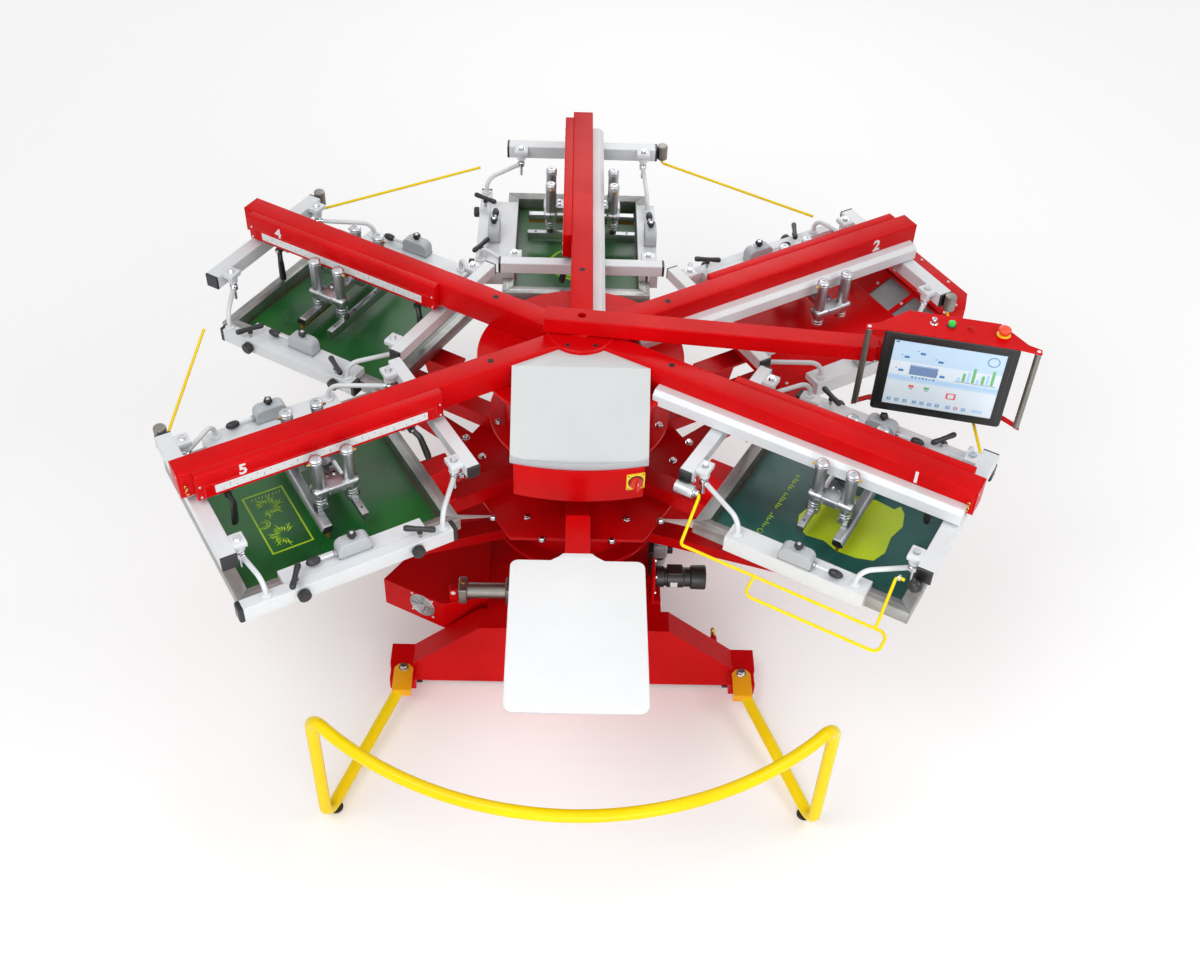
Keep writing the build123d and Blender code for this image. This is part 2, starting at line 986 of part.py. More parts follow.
def flash_grilles():
    top = flash_bottom + flash_raise
    plates = []
    for x, y in grille_spans():
        rim = block((x[0] - 4, x[1] + 4), (y[0] - 4, y[1] + 4), (top - flash_wall - 2, top - flash_wall))
        plates.append(rim)
    return plates


# Hood and switch box between the two front beams
def bowed_outline(half, back, front):
    arc = ThreePointArc((half, front), (0, front - hood_bow), (-half, front))
    sides = Polyline((-half, front), (-half, back), (half, back), (half, front))
    return make_face(Wire([arc, *sides.edges()]))


def beam_side_y(x):
    # front face of the two front beams, at a distance x from the middle plane
    slope = radians(station_step / 2)
    return -(abs(x) * sin(slope) + beam_width / 2) / cos(slope)


def hood_block():
    half = hood_width / 2
    top = beam_top - hood_top_gap
    shoulder = beam_side_y(half) - disc_gap
    middle = beam_side_y(0) - disc_gap
    back = Polyline((half, hood_front), (half, shoulder), (0, middle), (-half, shoulder), (-half, hood_front))
    bow = ThreePointArc((-half, hood_front), (0, hood_front - hood_bow), (half, hood_front))
    plan = Plane.XY.offset(hood_slope_bottom - hood_lip) * make_face(Wire([*back.edges(), bow]))
    return extrude(plan, amount=top - hood_slope_bottom + hood_lip, dir=(0, 0, 1))


def hood_profile(inset):
    # side view of the space under the hood's skin, from the back to its front lip
    top = beam_top - hood_top_gap - inset
    lip = hood_slope_bottom - inset
    fall = (top - lip) / (hood_back - hood_front)
    tip = hood_front - hood_bow - 1 + inset
    floor = hood_slope_bottom - hood_lip - 1
    return [(0, floor), (0, top), (hood_back, top), (tip, lip - fall * (hood_front - tip)), (tip, floor)]


def hood_shell():
    half = hood_width / 2
    hood = hood_block() & run_along_x(hood_profile(0), (-half, half))
    inner = half - hood_wall
    bow = ThreePointArc((-inner, hood_front), (0, hood_front - hood_bow + hood_wall), (inner, hood_front))
    back = Polyline((inner, hood_front), (inner, 0), (-inner, 0), (-inner, hood_front))
    plan = Plane.XY.offset(hood_slope_bottom - hood_lip - 1) * make_face(Wire([*back.edges(), bow]))
    room = extrude(plan, amount=beam_top, dir=(0, 0, 1))
    hood -= room & run_along_x(hood_profile(hood_wall), (-half, half))
    hood -= post(0, 0, (beam_bottom, beam_top + 1), hub_radius + disc_gap)
    slot = (beam_bottom - disc_thickness - disc_gap, beam_bottom + disc_gap)
    reach = (-drum_radius - disc_gap, 0)
    return hood - block((-half - 1, half + 1), reach, slot)


def switch_box():
    half = switch_box_width / 2
    top = hood_slope_bottom - hood_lip
    back = -drum_flange_radius + 70
    wall = hood_wall
    plan = bowed_outline(half, back, switch_front())
    body = extrude(Plane.XY.offset(switch_box_bottom) * plan, amount=top - switch_box_bottom, dir=(0, 0, 1))
    room = bowed_outline(half - wall, back + 1, switch_front() + wall)
    height = top - switch_box_bottom - 2 * wall
    body -= extrude(Plane.XY.offset(switch_box_bottom + wall) * room, amount=height, dir=(0, 0, 1))
    body -= post(0, 0, (switch_box_bottom - 1, top + 1), drum_radius + disc_gap)
    flange_top = drum_bottom + drum_flange_thickness + hub_bolt_height + disc_gap
    return body - post(0, 0, (switch_box_bottom - 1, flange_top), drum_flange_radius + disc_gap)


def switch_front():
    return hood_front - switch_box_setback


def switch_plane():
    # square to the bowed front of the switch box, at the switch
    half = switch_box_width / 2
    bow_radius = (half * half + hood_bow * hood_bow) / (2 * hood_bow)
    centre = switch_front() - hood_bow + bow_radius
    lean = asin(switch_offset / bow_radius)
    face = centre - bow_radius * cos(lean)
    return Plane(
        origin=(switch_offset, face, switch_height),
        x_dir=(cos(lean), sin(lean), 0),
        z_dir=(sin(lean), -cos(lean), 0),
    )


def switch_plate():
    plate = Box(switch_plate_width, switch_plate_height, plate_thickness, align=ON_FACE)
    plate = chamfer(plate.edges().filter_by(Axis.Z), 4)
    return switch_plane() * plate


def main_switch():
    knob = Cylinder(switch_knob_radius, switch_knob_depth, align=ON_FACE)
    across = 2 * switch_knob_radius - 4
    grip = Pos(0, 0, switch_knob_depth) * Box(10, across, switch_knob_depth, align=ON_FACE)
    return switch_plane() * Pos(0, 0, plate_thickness) * (knob + grip)


# Column, lift sleeve and carousel
def column():
    body = post(0, 0, (base_box_top, drum_bottom), column_radius)
    body += post(0, 0, (base_box_top, base_box_top + column_flange_height), column_flange_radius)
    body -= post(0, 0, (base_box_top - 1, drum_bottom + 1), column_radius - 12)
    return body


def lift_cylinders():
    bodies = []
    for side in (-1, 1):
        span = (base_box_top + column_flange_height, lift_cylinder_top)
        body = post(side * lift_place, 0, span, lift_cylinder_radius)
        rod_bottom = hub_bottom - sleeve_flange_height - lift_rod_length
        room = (rod_bottom - 2, lift_cylinder_top + 1)
        body -= post(side * lift_place, 0, room, lift_rod_radius + rod_play)
        bodies.append(body)
    return bodies


def lift_sleeve():
    bottom = hub_bottom - sleeve_flange_height
    body = turning_post(0, 0, (bottom, hub_ring_top - 10), sleeve_radius - sleeve_play)
    body += post(0, 0, (bottom, hub_bottom), sleeve_flange_radius)
    for side in (-1, 1):
        body += post(side * lift_place, 0, (bottom - lift_rod_length, bottom), lift_rod_radius)
    return body - post(0, 0, (bottom - 1, hub_ring_top), column_radius + sleeve_play)


def carousel_hub():
    plate_top = pallet_arm_top - pallet_arm_height
    plate_bottom = plate_top - hub_plate_height
    core = post(0, 0, (hub_bottom, plate_bottom), hub_core_radius)
    core += post(0, 0, (hub_bottom, hub_bottom + hub_foot_height), hub_foot_radius)
    core_hollow = (hub_bottom + hub_foot_height, plate_bottom - hub_foot_height)
    core -= post(0, 0, core_hollow, hub_core_radius - hub_foot_height)
    hexagon = Rot(0, 0, station_step / 2) * RegularPolygon(hub_plate_radius, station_count)
    plate = Pos(0, 0, plate_bottom) * extrude(hexagon, hub_plate_height)
    ring = post(0, 0, (plate_top, hub_ring_top), hub_ring_radius)
    ring_hollow = (plate_top + hub_foot_height, hub_ring_top - hub_foot_height)
    ring -= post(0, 0, ring_hollow, hub_ring_radius - hub_foot_height)
    core += post(0, 0, core_hollow, sleeve_radius + hub_foot_height)
    ring += post(0, 0, ring_hollow, sleeve_radius + hub_foot_height)
    bore = turning_post(0, 0, (hub_bottom - 1, hub_ring_top + 1), sleeve_radius)
    return [core - bore, plate - bore, ring - bore]


def hub_bolts():
    top = pallet_arm_top - pallet_arm_height
    bolts = []
    head = extrude(RegularPolygon(hub_bolt_head, 6), hub_bolt_height)
    for index in range(station_count):
        angle = load_angle + index * station_step
        for side in (-1, 1):
            bolts.append(Rot(0, 0, angle) * Pos(hub_bolt_radius, side * hub_bolt_lateral, top) * head)
        bolts.append(Rot(0, 0, angle + station_step / 2) * Pos(hub_bolt_ring, 0, top) * head)
    return bolts


def pallet_arm():
    half = pallet_arm_width / 2
    bottom = pallet_arm_top - pallet_arm_height
    wall = pallet_arm_wall
    tube = block((hub_ring_radius, pallet_arm_reach), (-half, half), (bottom, pallet_arm_top))
    tube = chamfer(tube.edges().filter_by(Axis.X), wall * 0.6)
    inside = (bottom + wall, pallet_arm_top - wall)
    tube -= block((hub_ring_radius - 1, pallet_arm_reach - wall), (wall - half, half - wall), inside)
    brace = run_along_y(
        [
            (hub_core_radius, brace_start_top),
            (brace_meet, bottom),
            (pallet_arm_reach, bottom),
            (pallet_arm_reach, bottom - brace_height * 0.7),
            (hub_core_radius, brace_start_top - brace_height),
        ],
        (-half, half),
    )
    return [tube, brace]


def pallet_bracket():
    top = pallet_top - pallet_thickness
    flange = bracket_flange / 2
    web = bracket_web / 2
    cap = top - bracket_flange_height
    foot = pallet_arm_top + bracket_flange_height
    stem = [
        (-flange, pallet_arm_top),
        (flange, pallet_arm_top),
        (flange, foot),
        (web, foot),
        (web, cap),
        (flange, cap),
        (flange, top),
        (-flange, top),
        (-flange, cap),
        (-web, cap),
        (-web, foot),
        (-flange, foot),
    ]
    body = run_along_x(stem, (bracket_inner, bracket_outer))
    slot = run_along_y(
        [
            (bracket_inner + 120, foot + 14),
            (bracket_outer - 120, foot + 14),
            (bracket_outer - 150, cap - 14),
            (bracket_inner + 150, cap - 14),
        ],
        (-flange, flange),
    )
    return body - slot


def pallet():
    half = pallet_width / 2
    end = pallet_inner + pallet_length
    z = (pallet_top - pallet_thickness, pallet_top)
    plate = block((pallet_inner, end), (-half, half), z)
    plate = chamfer(plate.edges().filter_by(Axis.Z), pallet_corner * 0.6)
    neck = run_up(
        [
            (pallet_inner + 1, -half * 0.28),
            (pallet_inner - pallet_neck, -half * 0.15),
            (pallet_inner - pallet_neck, half * 0.15),
            (pallet_inner + 1, half * 0.28),
        ],
        z,
    )
    return plate + neck


# Base
def base_frame():
    shoulder = frame_shoulder
    face = [
        (-frame_end, frame_ground),
        (frame_end, frame_ground),
        (frame_end, foot_height),
        (frame_slope_end, foot_height),
        (shoulder, base_box_top),
        (-shoulder, base_box_top),
        (-frame_slope_end, foot_height),
        (-frame_end, foot_height),
    ]
    body = None
    for side in (1, -1):
        near = side * frame_front
        far = near + side * frame_depth
        span = sorted((near, far))
        wall = run_along_y(face, span)
        room = [
            (-frame_end + base_wall, frame_ground + base_wall),
            (frame_end - base_wall, frame_ground + base_wall),
            (frame_end - base_wall, foot_height - base_wall),
            (frame_slope_end - base_wall, foot_height - base_wall),
            (shoulder - base_wall, base_box_top - base_wall),
            (base_wall - shoulder, base_box_top - base_wall),
            (base_wall - frame_slope_end, foot_height - base_wall),
            (base_wall - frame_end, foot_height - base_wall),
        ]
        wall -= run_along_y(room, (span[0] + base_wall, span[1] - base_wall))
        body = wall if body is None else body + wall
    width = (-base_half_width, base_half_width)
    middle = block(width, (-base_half_depth, base_half_depth), (base_box_bottom, base_box_top))
    middle -= block(
        (base_wall - base_half_width, base_half_width - base_wall),
        (base_wall - base_half_depth, base_half_depth - base_wall),
        (base_box_bottom + base_wall, base_box_top - base_wall),
    )
    body += middle
    return body


def foot_tabs():
    # welded tabs that carry the safety bar's brackets
    top = foot_height
    tabs = []
    for side in (-1, 1):
        x = sorted((side * (bracket_bolt_x - 45), side * (bracket_bolt_x + 45)))
        tabs.append(block(x, (foot_tab_front, frame_front), (top - 50, top)))
    return tabs


def index_housing():
    points = [
        (-base_half_width, 60),
        (-housing_back_x, housing_back_y),
        (-housing_left_x, -housing_left_y),
        (-housing_front_x, -housing_front_y),
        (-base_half_width, -frame_shoulder),
    ]
    body = run_up(points, (housing_bottom, housing_top))
    inner = [
        (-base_half_width - base_wall, 60 - base_wall * 2),
        (4 - housing_back_x, housing_back_y - base_wall * 2),
        (10 - housing_left_x, 3 - housing_left_y),
        (-housing_front_x, 8 - housing_front_y),
        (-base_half_width - base_wall, -frame_shoulder + base_wall * 2),
    ]
    body -= run_up(inner, (housing_bottom + base_wall, housing_top - base_wall))
    return body


def housing_wall_plane(share, height):
    start = Vector(-housing_left_x, -housing_left_y, height)
    end = Vector(-housing_front_x, -housing_front_y, height)
    middle = start + (end - start) * share
    along = (end - start).normalized()
    outward = Vector(along.Y, -along.X, 0)
    return Plane(origin=middle, z_dir=outward)


def bearing_disc():
    plane = housing_wall_plane(disc_cover_share, (housing_bottom + housing_top) / 2 + disc_cover_rise)
    disc = plane * extrude(round_face(disc_cover_radius), disc_cover_thickness)
    hub = plane * extrude(round_face(disc_cover_radius * 0.3), disc_cover_thickness * 2)
    return disc + hub


def levelling_feet():
    # a levelling screw on a floor plate, which an anchor bolt holds on the leg's inner side
    feet = []
    middle = -frame_front - frame_depth / 2
    for x in (-foot_x, foot_x):
        for side in (-1, 1):
            depth = sorted((side * foot_plate_inner, side * (middle + foot_plate_half)))
            plate = block((x - foot_plate_half, x + foot_plate_half), depth, (0, foot_pad_height))
            plate -= turning_post(x, side * anchor_y, (-1, foot_pad_height + 1), anchor_hole)
            feet.append(plate + post(x, side * middle, (foot_pad_height, frame_ground), foot_stem_radius))
    return feet


def index_cylinder():
    y = -338
    x0 = -398
    x1 = x0 + index_cylinder_length
    z = index_cylinder_height
    square = index_cylinder_radius + 4
    body = bar_between((x0, y, z), (x1, y, z), index_cylinder_radius)
    for x in (x0, x1 - 30):
        end = block((x, x + 30), (y - square, y + square), (z - square, z + square))
        body += chamfer(end.edges().filter_by(Axis.X), 4)
    clevis = block((x0 - 34, x0), (y - 14, y + 14), (housing_top, z + 14))
    rest = block((x1 - 28, x1 - 2), (y - 20, y + 20), (base_box_top, z - square + 1))
    return body + clevis + rest


def index_motor():
    x = base_half_width
    y = -283
    z = motor_height
    bracket = block((x - 34, x - 24), (y - 48, y + 48), (base_box_top, z + 48))
    bracket += block((x - 34, x), (y - 48, y + 48), (base_box_top, base_box_top + 8))
    motor = bar_between((x - 24, y, z), (x + motor_length - 40, y, z), motor_radius)
    motor += bar_between((x + motor_length - 40, y, z), (x + motor_length + 10, y, z), motor_radius + 6)
    return [bracket, motor]


def air_unit():
    x = base_half_width - 40
    y = -140
    back = block((x, x + 14), (y - 60, y + 60), (base_box_top, base_box_top + 120))
    body = block((x + 14, x + 64), (y - 25, y + 25), (base_box_top + 50, base_box_top + 110))
    bowl = post(x + 40, y, (base_box_top, base_box_top + 50), 22)
    knob = post(x + 40, y, (base_box_top + 110, base_box_top + 145), 20)
    gauge = bar_between((x + 64, y, base_box_top + 80), (x + 84, y, base_box_top + 80), 19)
    side = block((x + 14, x + 60), (y + 25, y + 60), (base_box_top + 60, base_box_top + 100))
    inlet_y = y + 43
    inlet_z = base_box_top + 80
    inlet = turning_bar((x + 60, inlet_y, inlet_z), (x + 60 + inlet_length, inlet_y, inlet_z), inlet_radius)
    return [back, body + bowl + knob + gauge + side + inlet]


def leg_fitting():
    # red stub and brass fitting on the right leg's slope
    start = (frame_slope_end - 60, frame_front + frame_depth, foot_height + 20)
    stub = bar_between(start, (start[0], start[1] + 40, start[2]), 12)
    fitting = bar_between((start[0], start[1] + 40, start[2]), (start[0], start[1] + 78, start[2]), 8)
    return [stub, fitting]


# Safety bar
def arc_point(angle):
    centre = arc_radius - arc_front
    x = arc_radius * sin(radians(angle))
    y = centre - arc_radius * cos(radians(angle))
    return x, y


def safety_bar():
    x_end, y_end = arc_point(arc_half_angle)
    lean = radians(arc_half_angle)
    right = Vector(x_end, y_end, post_height)
    corner = right + Vector(cos(lean), sin(lean), 0) * top_bend
    foot = Vector(corner.X, corner.Y, bar_radius + pad_thickness)
    tail_end = Vector(bracket_bolt_x + 8, foot_tab_front - bar_radius, foot_height - bar_radius - running_gap)
    half = softened([right, corner, foot, tail_end], bottom_bend, bar_bend_chords)
    other = [Vector(-point.X, point.Y, point.Z) for point in reversed(half)]
    steps = range(1, arc_chords)
    angles = [arc_half_angle * (2 * step / arc_chords - 1) for step in steps]
    front = [Vector(*arc_point(angle), post_height) for angle in angles]
    bar = tube_along([*other, *front, *half], bar_radius)
    rest = foot + (tail_end - foot).normalized() * bottom_bend
    for side in (-1, 1):
        bar += post(side * rest.X, rest.Y, (0, rest.Z), pad_radius / 2)
        bar += post(side * rest.X, rest.Y, (0, pad_thickness), pad_radius)
    return bar


def bar_bracket(side):
    x = side * bracket_bolt_x
    half = bracket_width / 2
    top = foot_height
    depth = (foot_tab_front - bracket_length * 0.45, frame_front - 4)
    plate = block((x - half, x + half), depth, (top, top + bracket_thickness))
    plate = chamfer(plate.edges().filter_by(Axis.Z).group_by(Axis.Y)[-1], half * 0.5)
    return plate


def bracket_bolt(side):
    x = side * bracket_bolt_x
    top = foot_height + bracket_thickness
    washer = post(x, bracket_bolt_y, (top, top + 3), 17)
    head = Pos(x, bracket_bolt_y, top + 3) * extrude(RegularPolygon(14, 6), 12)
    return washer + head


# Trip rods on the outer cross bars and the hinged guard of the first head
def trip_rod(run):
    lateral = -bar_half_length - cap_thickness - sensor_radius
    z = (bar_top - sensor_length + 8, bar_top + 8)
    sensor = post(outer_bar_radius, lateral, z, sensor_radius)
    sensor = chamfer(sensor.edges().group_by(Axis.Z)[-1], 4)
    start = Vector(outer_bar_radius, lateral, z[0])
    low = Vector(outer_bar_radius, lateral, trip_rod_height)
    turn = radians(trip_rod_turn)
    end = Vector(outer_bar_radius - run * sin(turn), lateral - run * cos(turn), trip_rod_height)
    rod = bent_rod([start, low, end], trip_rod_radius * 2.2, trip_rod_radius)
    return sensor + rod


def guard_holders():
    # a sensor on the inner bar and a bracket on the outer bar, each bored for the guard's hinge
    face = -bar_half_length - cap_thickness
    bore = turning_bar(
        (guard_inner - guard_stub - 1, -guard_hinge_lateral, guard_hinge_height),
        (guard_outer + guard_stub + 1, -guard_hinge_lateral, guard_hinge_height),
        guard_radius + running_gap,
    )
    deep = (guard_hinge_height - 12, guard_hinge_height + 12)
    wide = (face - 34, face)
    span = (bar_top - sensor_length, bar_top + 8)
    sensor = post(inner_bar_radius, face - sensor_radius, span, sensor_radius)
    sensor += block((inner_bar_radius, guard_inner - guard_stub + 12), wide, deep)
    bracket = block((guard_outer + guard_stub - 12, outer_bar_radius + 20), wide, deep)
    return [sensor - bore, bracket - bore]


def guard_loop():
    lateral = -guard_hinge_lateral
    frame = bent_rod(
        [
            (guard_inner - guard_stub, lateral, guard_hinge_height),
            (guard_inner, lateral, guard_hinge_height),
            (guard_inner, -guard_lateral, guard_height),
            (guard_outer, -guard_lateral, guard_height),
            (guard_outer, lateral, guard_hinge_height),
            (guard_outer + guard_stub, lateral, guard_hinge_height),
        ],
        guard_radius * 2.2,
        guard_radius,
    )
    loop = bent_rod(
        [
            (loop_inner, -guard_lateral, guard_height),
            (loop_inner, -loop_lateral, loop_height),
            (guard_outer + loop_bend, -loop_lateral, loop_height),
            (guard_outer + loop_bend, -guard_lateral, guard_height),
            (guard_outer - guard_radius, -guard_lateral, guard_height),
        ],
        guard_radius * 5,
        guard_radius,
    )
    return frame + loop


# Control arm and panel
def control_arm():
    half = control_width / 2
    bottom = beam_top + hub_rise + control_washer
    top = bottom + control_height
    body = block((-control_back, control_reach), (-half, half), (bottom, top))
    body = chamfer(body.edges().filter_by(Axis.X), 2.5)
    body -= block((4 - control_back, control_reach - 4), (4 - half, half - 4), (bottom + 4, top - 4))
    body += post(0, 0, (bottom, top), pivot_pin_radius + 6)
    body += post(0, 0, (bottom - control_washer, bottom), pivot_bore + 14)
    body += turning_post(0, 0, (bottom - control_washer - pivot_pin_length, bottom), pivot_pin_radius)
    body -= post(0, 0, (top - 30, top + 1), pivot_pin_radius * 0.55)
    tongue = block((control_reach - 4, swivel_reach), (-swivel_radius, swivel_radius), (bottom, top))
    tongue += post(swivel_reach, 0, (bottom, top), swivel_radius)
    body += tongue
    body -= turning_post(swivel_reach, 0, (bottom - 1, top + 1), swivel_pin + running_gap)
    return Rot(0, 0, control_angle) * body


def panel_frame():
    return Pos(panel_x, panel_y, panel_bottom) * Rot(0, 0, panel_turn)


def swivel_centre():
    # the swivel pin's place in the panel's own frame
    reach = Vector(swivel_reach * cos(radians(control_angle)), swivel_reach * sin(radians(control_angle)), 0)
    return (reach - Vector(panel_x, panel_y, 0)).rotate(Axis.Z, -panel_turn)


def panel_clevis():
    pin = swivel_centre()
    bottom = beam_top + hub_rise + control_washer - panel_bottom
    top = bottom + control_height
    side = -panel_back_width / 2 + 4
    body = turning_post(pin.X, pin.Y, (bottom - swivel_plate, top + swivel_plate), swivel_pin)
    for z in ((bottom - swivel_plate, bottom), (top, top + swivel_plate)):
        body += post(pin.X, pin.Y, z, swivel_radius - 2)
        body += block((pin.X, side), (pin.Y - swivel_radius + 2, pin.Y + swivel_radius - 2), z)
    return body


def panel_housing():
    half = panel_back_width / 2
    edge = panel_shelf_width / 2
    top = panel_height
    box = block((-half, half), (bezel_depth, panel_back_depth), (housing_floor, top))
    box = chamfer(box.edges().filter_by(Axis.Z), 8)
    box -= block((6 - half, half - 6), (bezel_depth + 6, panel_back_depth - 6), (housing_floor + 6, top - 6))
    shelf = run_up(
        [
            (-edge, 0),
            (edge, 0),
            (edge, bezel_depth),
            (edge * 0.62, panel_back_depth + bezel_depth),
            (-edge * 0.62, panel_back_depth + bezel_depth),
            (-edge, bezel_depth),
        ],
        (top, top + panel_shelf_thickness),
    )
    body = box + shelf + panel_clevis()
    for side in (-1, 1):
        ear = [
            (side * (edge - 40), 0),
            (side * (handle_spread / 2 + handle_radius), -handle_radius),
            (side * (handle_spread / 2 + handle_radius), handle_radius),
            (side * (edge - 40), 40),
        ]
        body += run_up(ear, (top, top + panel_shelf_thickness))
        lower = [
            (side * (half - 4), bezel_depth + 2),
            (side * (panel_width / 2 + 8), bezel_depth + 2),
            (side * (handle_spread / 2 + handle_radius), -handle_radius),
            (side * (handle_spread / 2 + handle_radius), handle_radius),
            (side * (panel_width / 2 + 8), bezel_depth + 22),
            (side * (half - 4), bezel_depth + 40),
        ]
        height = top - handle_length
        body += run_up(lower, (height - ear_thickness, height))
    return body


def touchscreen():
    half = panel_width / 2
    body = block((-half, half), (0, bezel_depth), (0, panel_height))
    body = chamfer(body.edges().filter_by(Axis.Y), 6)
    window = block(
        (screen_margin_x - half, half - screen_margin_x),
        (-1, 2),
        (screen_margin_y, panel_height - screen_margin_y),
    )
    return body - window


def panel_handles():
    bars = []
    for side in (-1, 1):
        x = side * handle_spread / 2
        bars.append(post(x, 0, (panel_height - handle_length, panel_height), handle_radius))
    return bars


def shelf_place(share, depth):
    return share * panel_shelf_width, depth


def push_button(share, depth, radius, height):
    x, y = shelf_place(share, depth)
    base = panel_height + panel_shelf_thickness
    stem = turning_post(x, y, (base - panel_shelf_thickness, base + button_travel + 2), radius * 0.6)
    cap = post(x, y, (base + button_travel + 1, base + button_travel + 1 + height), radius)
    cap = chamfer(cap.edges().group_by(Axis.Z)[-1], height * 0.3)
    return stem + cap


def button_hole(share, depth, radius):
    x, y = shelf_place(share, depth)
    bore = radius * 0.6 + running_gap
    return turning_post(x, y, (panel_height - 30, panel_height + panel_shelf_thickness + 1), bore)


def export_heads():
    every = list(heads.values())
    printing = list(print_heads().values())
    sides = (-1, 1)
    bars = ((outer_bar_radius, outer_bar_size, 1), (inner_bar_radius, inner_bar_size, -1))
    write("arm_beams", [shape for head in every for shape in turned([arm_beam()], head.angle)])
    write("ruler_covers", [shape for head in every for shape in turned([ruler_cover()], head.angle)])
    write("ruler_strips", [shape for head in every for shape in turned([ruler_strip()], head.angle)])
    rail_covers = []
    for number, head in heads.items():
        start = rail_cover_hood_inner if number == 1 else rail_cover_inner
        rail_covers += turned([rail_cover(start)], head.angle)
    write("rail_covers", rail_covers)
    write("carriage_rails", [shape for head in every for shape in turned([carriage_rail()], head.angle)])
    crossbars, clamps, caps, bosses, studs, levers = [], [], [], [], [], []
    for head in every:
        for radius, size, direction in bars:
            crossbars += turned([crossbar(radius, size)], head.angle)
            clamps += turned([slide_clamp(radius, size, direction)], head.angle)
            lean = 12 if direction > 0 and head.prints else 48
            levers += turned([clamp_lever(radius, direction, lean)], head.angle)
            for side in sides:
                caps += turned([bar_cap(radius, size, side)], head.angle)
                bosses += turned([collar_boss(radius, size, direction, side)], head.angle)
                studs += turned([boss_stud(radius, size, direction, side)], head.angle)
    write("crossbars", crossbars)
    write("slide_clamps", clamps)
    write("hanger_bosses", bosses)
    write("hanger_studs", studs)
    hangers, boxes, channels, covers, cover_levers, knobs = [], [], [], [], [], []
    for head in every:
        channel_middle = left_clamp_outer + channel_width / 2
        right_middle = right_side(head) - 30
        feet = {
            (1, 1): (head.holder + left_outer_foot, channel_middle),
            (1, -1): (head.holder + right_outer_foot, -right_middle),
            (-1, 1): (max(head.holder - left_inner_foot, head.channel_start + 25), channel_middle),
            (-1, -1): (head.holder - right_inner_foot, -right_middle),
        }
        for radius, size, direction in bars:
            for side in sides:
                foot = feet[(direction, side)]
                hangers += turned([hanger(radius, size, direction, side, *foot)], head.angle)
        channel, x_span, y_span, z_span = side_channel(head)
        channels += turned([channel], head.angle)
        caps += turned([channel_cap(x_span[1], y_span, z_span, 1)], head.angle)
        caps += turned([channel_cap(x_span[0], y_span, z_span, -1)], head.angle)
        inner_tee = max(head.holder - tee_spread, feet[(-1, 1)][0] + tee_spacing)
        inner_knob = max(head.holder - round_knob_inner, head.channel_start + round_knob_radius * 1.5)
        knobs += turned([tee_handle(head.holder + tee_spread), tee_handle(inner_tee)], head.angle)
        knobs += turned([round_knob(head.holder + round_knob_outer), round_knob(inner_knob)], head.angle)
        for side in sides:
            boxes += turned([clamp_box(head, side)], head.angle)
            covers += turned([clamp_cover(head, side)], head.angle)
            cover_levers += turned([cover_lever(head, side)], head.angle)
            knobs += turned([star_knob(head, side)], head.angle)
    write("hanger_rods", hangers)
    write("clamp_boxes", boxes)
    write("side_channels", channels)
    write("clamp_covers", covers)
    write("cover_levers", cover_levers)
    write("locking_knobs", knobs + levers)
    write("end_caps", caps)
    write("screen_frames", [shape for head in printing for shape in turned([screen_frame(head)], head.angle)])
    write("screen_meshes", [shape for head in printing for shape in turned([screen_mesh(head)], head.angle)])
    for number, head in heads.items():
        place = [at_radius(shape, head.carriage) for shape in carriage()]
        write(f"carriage_{number}", turned(place, head.angle))
        if head.prints:
            write(f"squeegee_{number}", turned([at_radius(squeegee(), head.carriage)], head.angle))
            write(f"flood_bar_{number}", turned([at_radius(flood_bar(), head.carriage)], head.angle))
    flash = heads[2]
    write("flash_housing", turned([flash_housing(), flash_heater()], flash.angle))
    write("flash_grilles", turned(flash_grilles(), flash.angle))
    rods = []
    for head in every:
        if head.trip_rod:
            rods += turned([trip_rod(head.trip_rod)], head.angle)
    write("trip_rods", rods + turned(guard_holders(), heads[1].angle))
    write("guard_loop", turned([guard_loop()], heads[1].angle))


def export_centre():
    write("head_drum", [head_drum(), *drum_bolts()])
    write("front_hood", [hood_shell()])
    write("switch_box", [switch_box(), switch_plate()])
    write("main_switch", [main_switch()])
    write("column", [column(), *lift_cylinders()])
    write("lift_sleeve", [lift_sleeve()])
    write("carousel_hub", [*carousel_hub(), *hub_bolts()])
    angles = [load_angle + index * station_step for index in range(station_count)]
    write("pallet_arms", [shape for angle in angles for shape in turned(pallet_arm(), angle)])
    write("pallet_brackets", [Rot(0, 0, angle) * pallet_bracket() for angle in angles])
    write("pallets", [Rot(0, 0, angle) * pallet() for angle in angles])


def export_base():
    left_tab, right_tab = foot_tabs()
    write("base_frame", [base_frame() + left_tab + right_tab, *leg_fitting()])
    write("index_housing", [index_housing()])
    write("bearing_disc", [bearing_disc()])
    write("levelling_feet", levelling_feet())
    write("index_cylinder", [index_cylinder()])
    write("index_motor", index_motor())
    write("air_unit", air_unit())
    brackets = [bar_bracket(-1), bar_bracket(1), bracket_bolt(-1), bracket_bolt(1)]
    write("safety_bar", [safety_bar(), *brackets])


def export_controls():
    place = panel_frame()
    buttons = {
        "key_switch": (-0.14, 62, 9, 14),
        "start_button": (-0.02, 62, button_radius, button_height),
        "stop_button": (0.33, 58, stop_radius, 22),
    }
    housing = panel_housing()
    for share, depth, radius, height in buttons.values():
        housing -= button_hole(share, depth, radius)
    write("control_arm", [control_arm()])
    write("panel_housing", [place * housing])
    write("touchscreen", [place * touchscreen()])
    write("panel_handles", [place * bar for bar in panel_handles()])
    for node, (share, depth, radius, height) in buttons.items():
        write(node, [place * push_button(share, depth, radius, height)])


export_heads()
export_centre()
export_base()
export_controls()
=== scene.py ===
import math

import bpy
from mathutils import Matrix, Vector


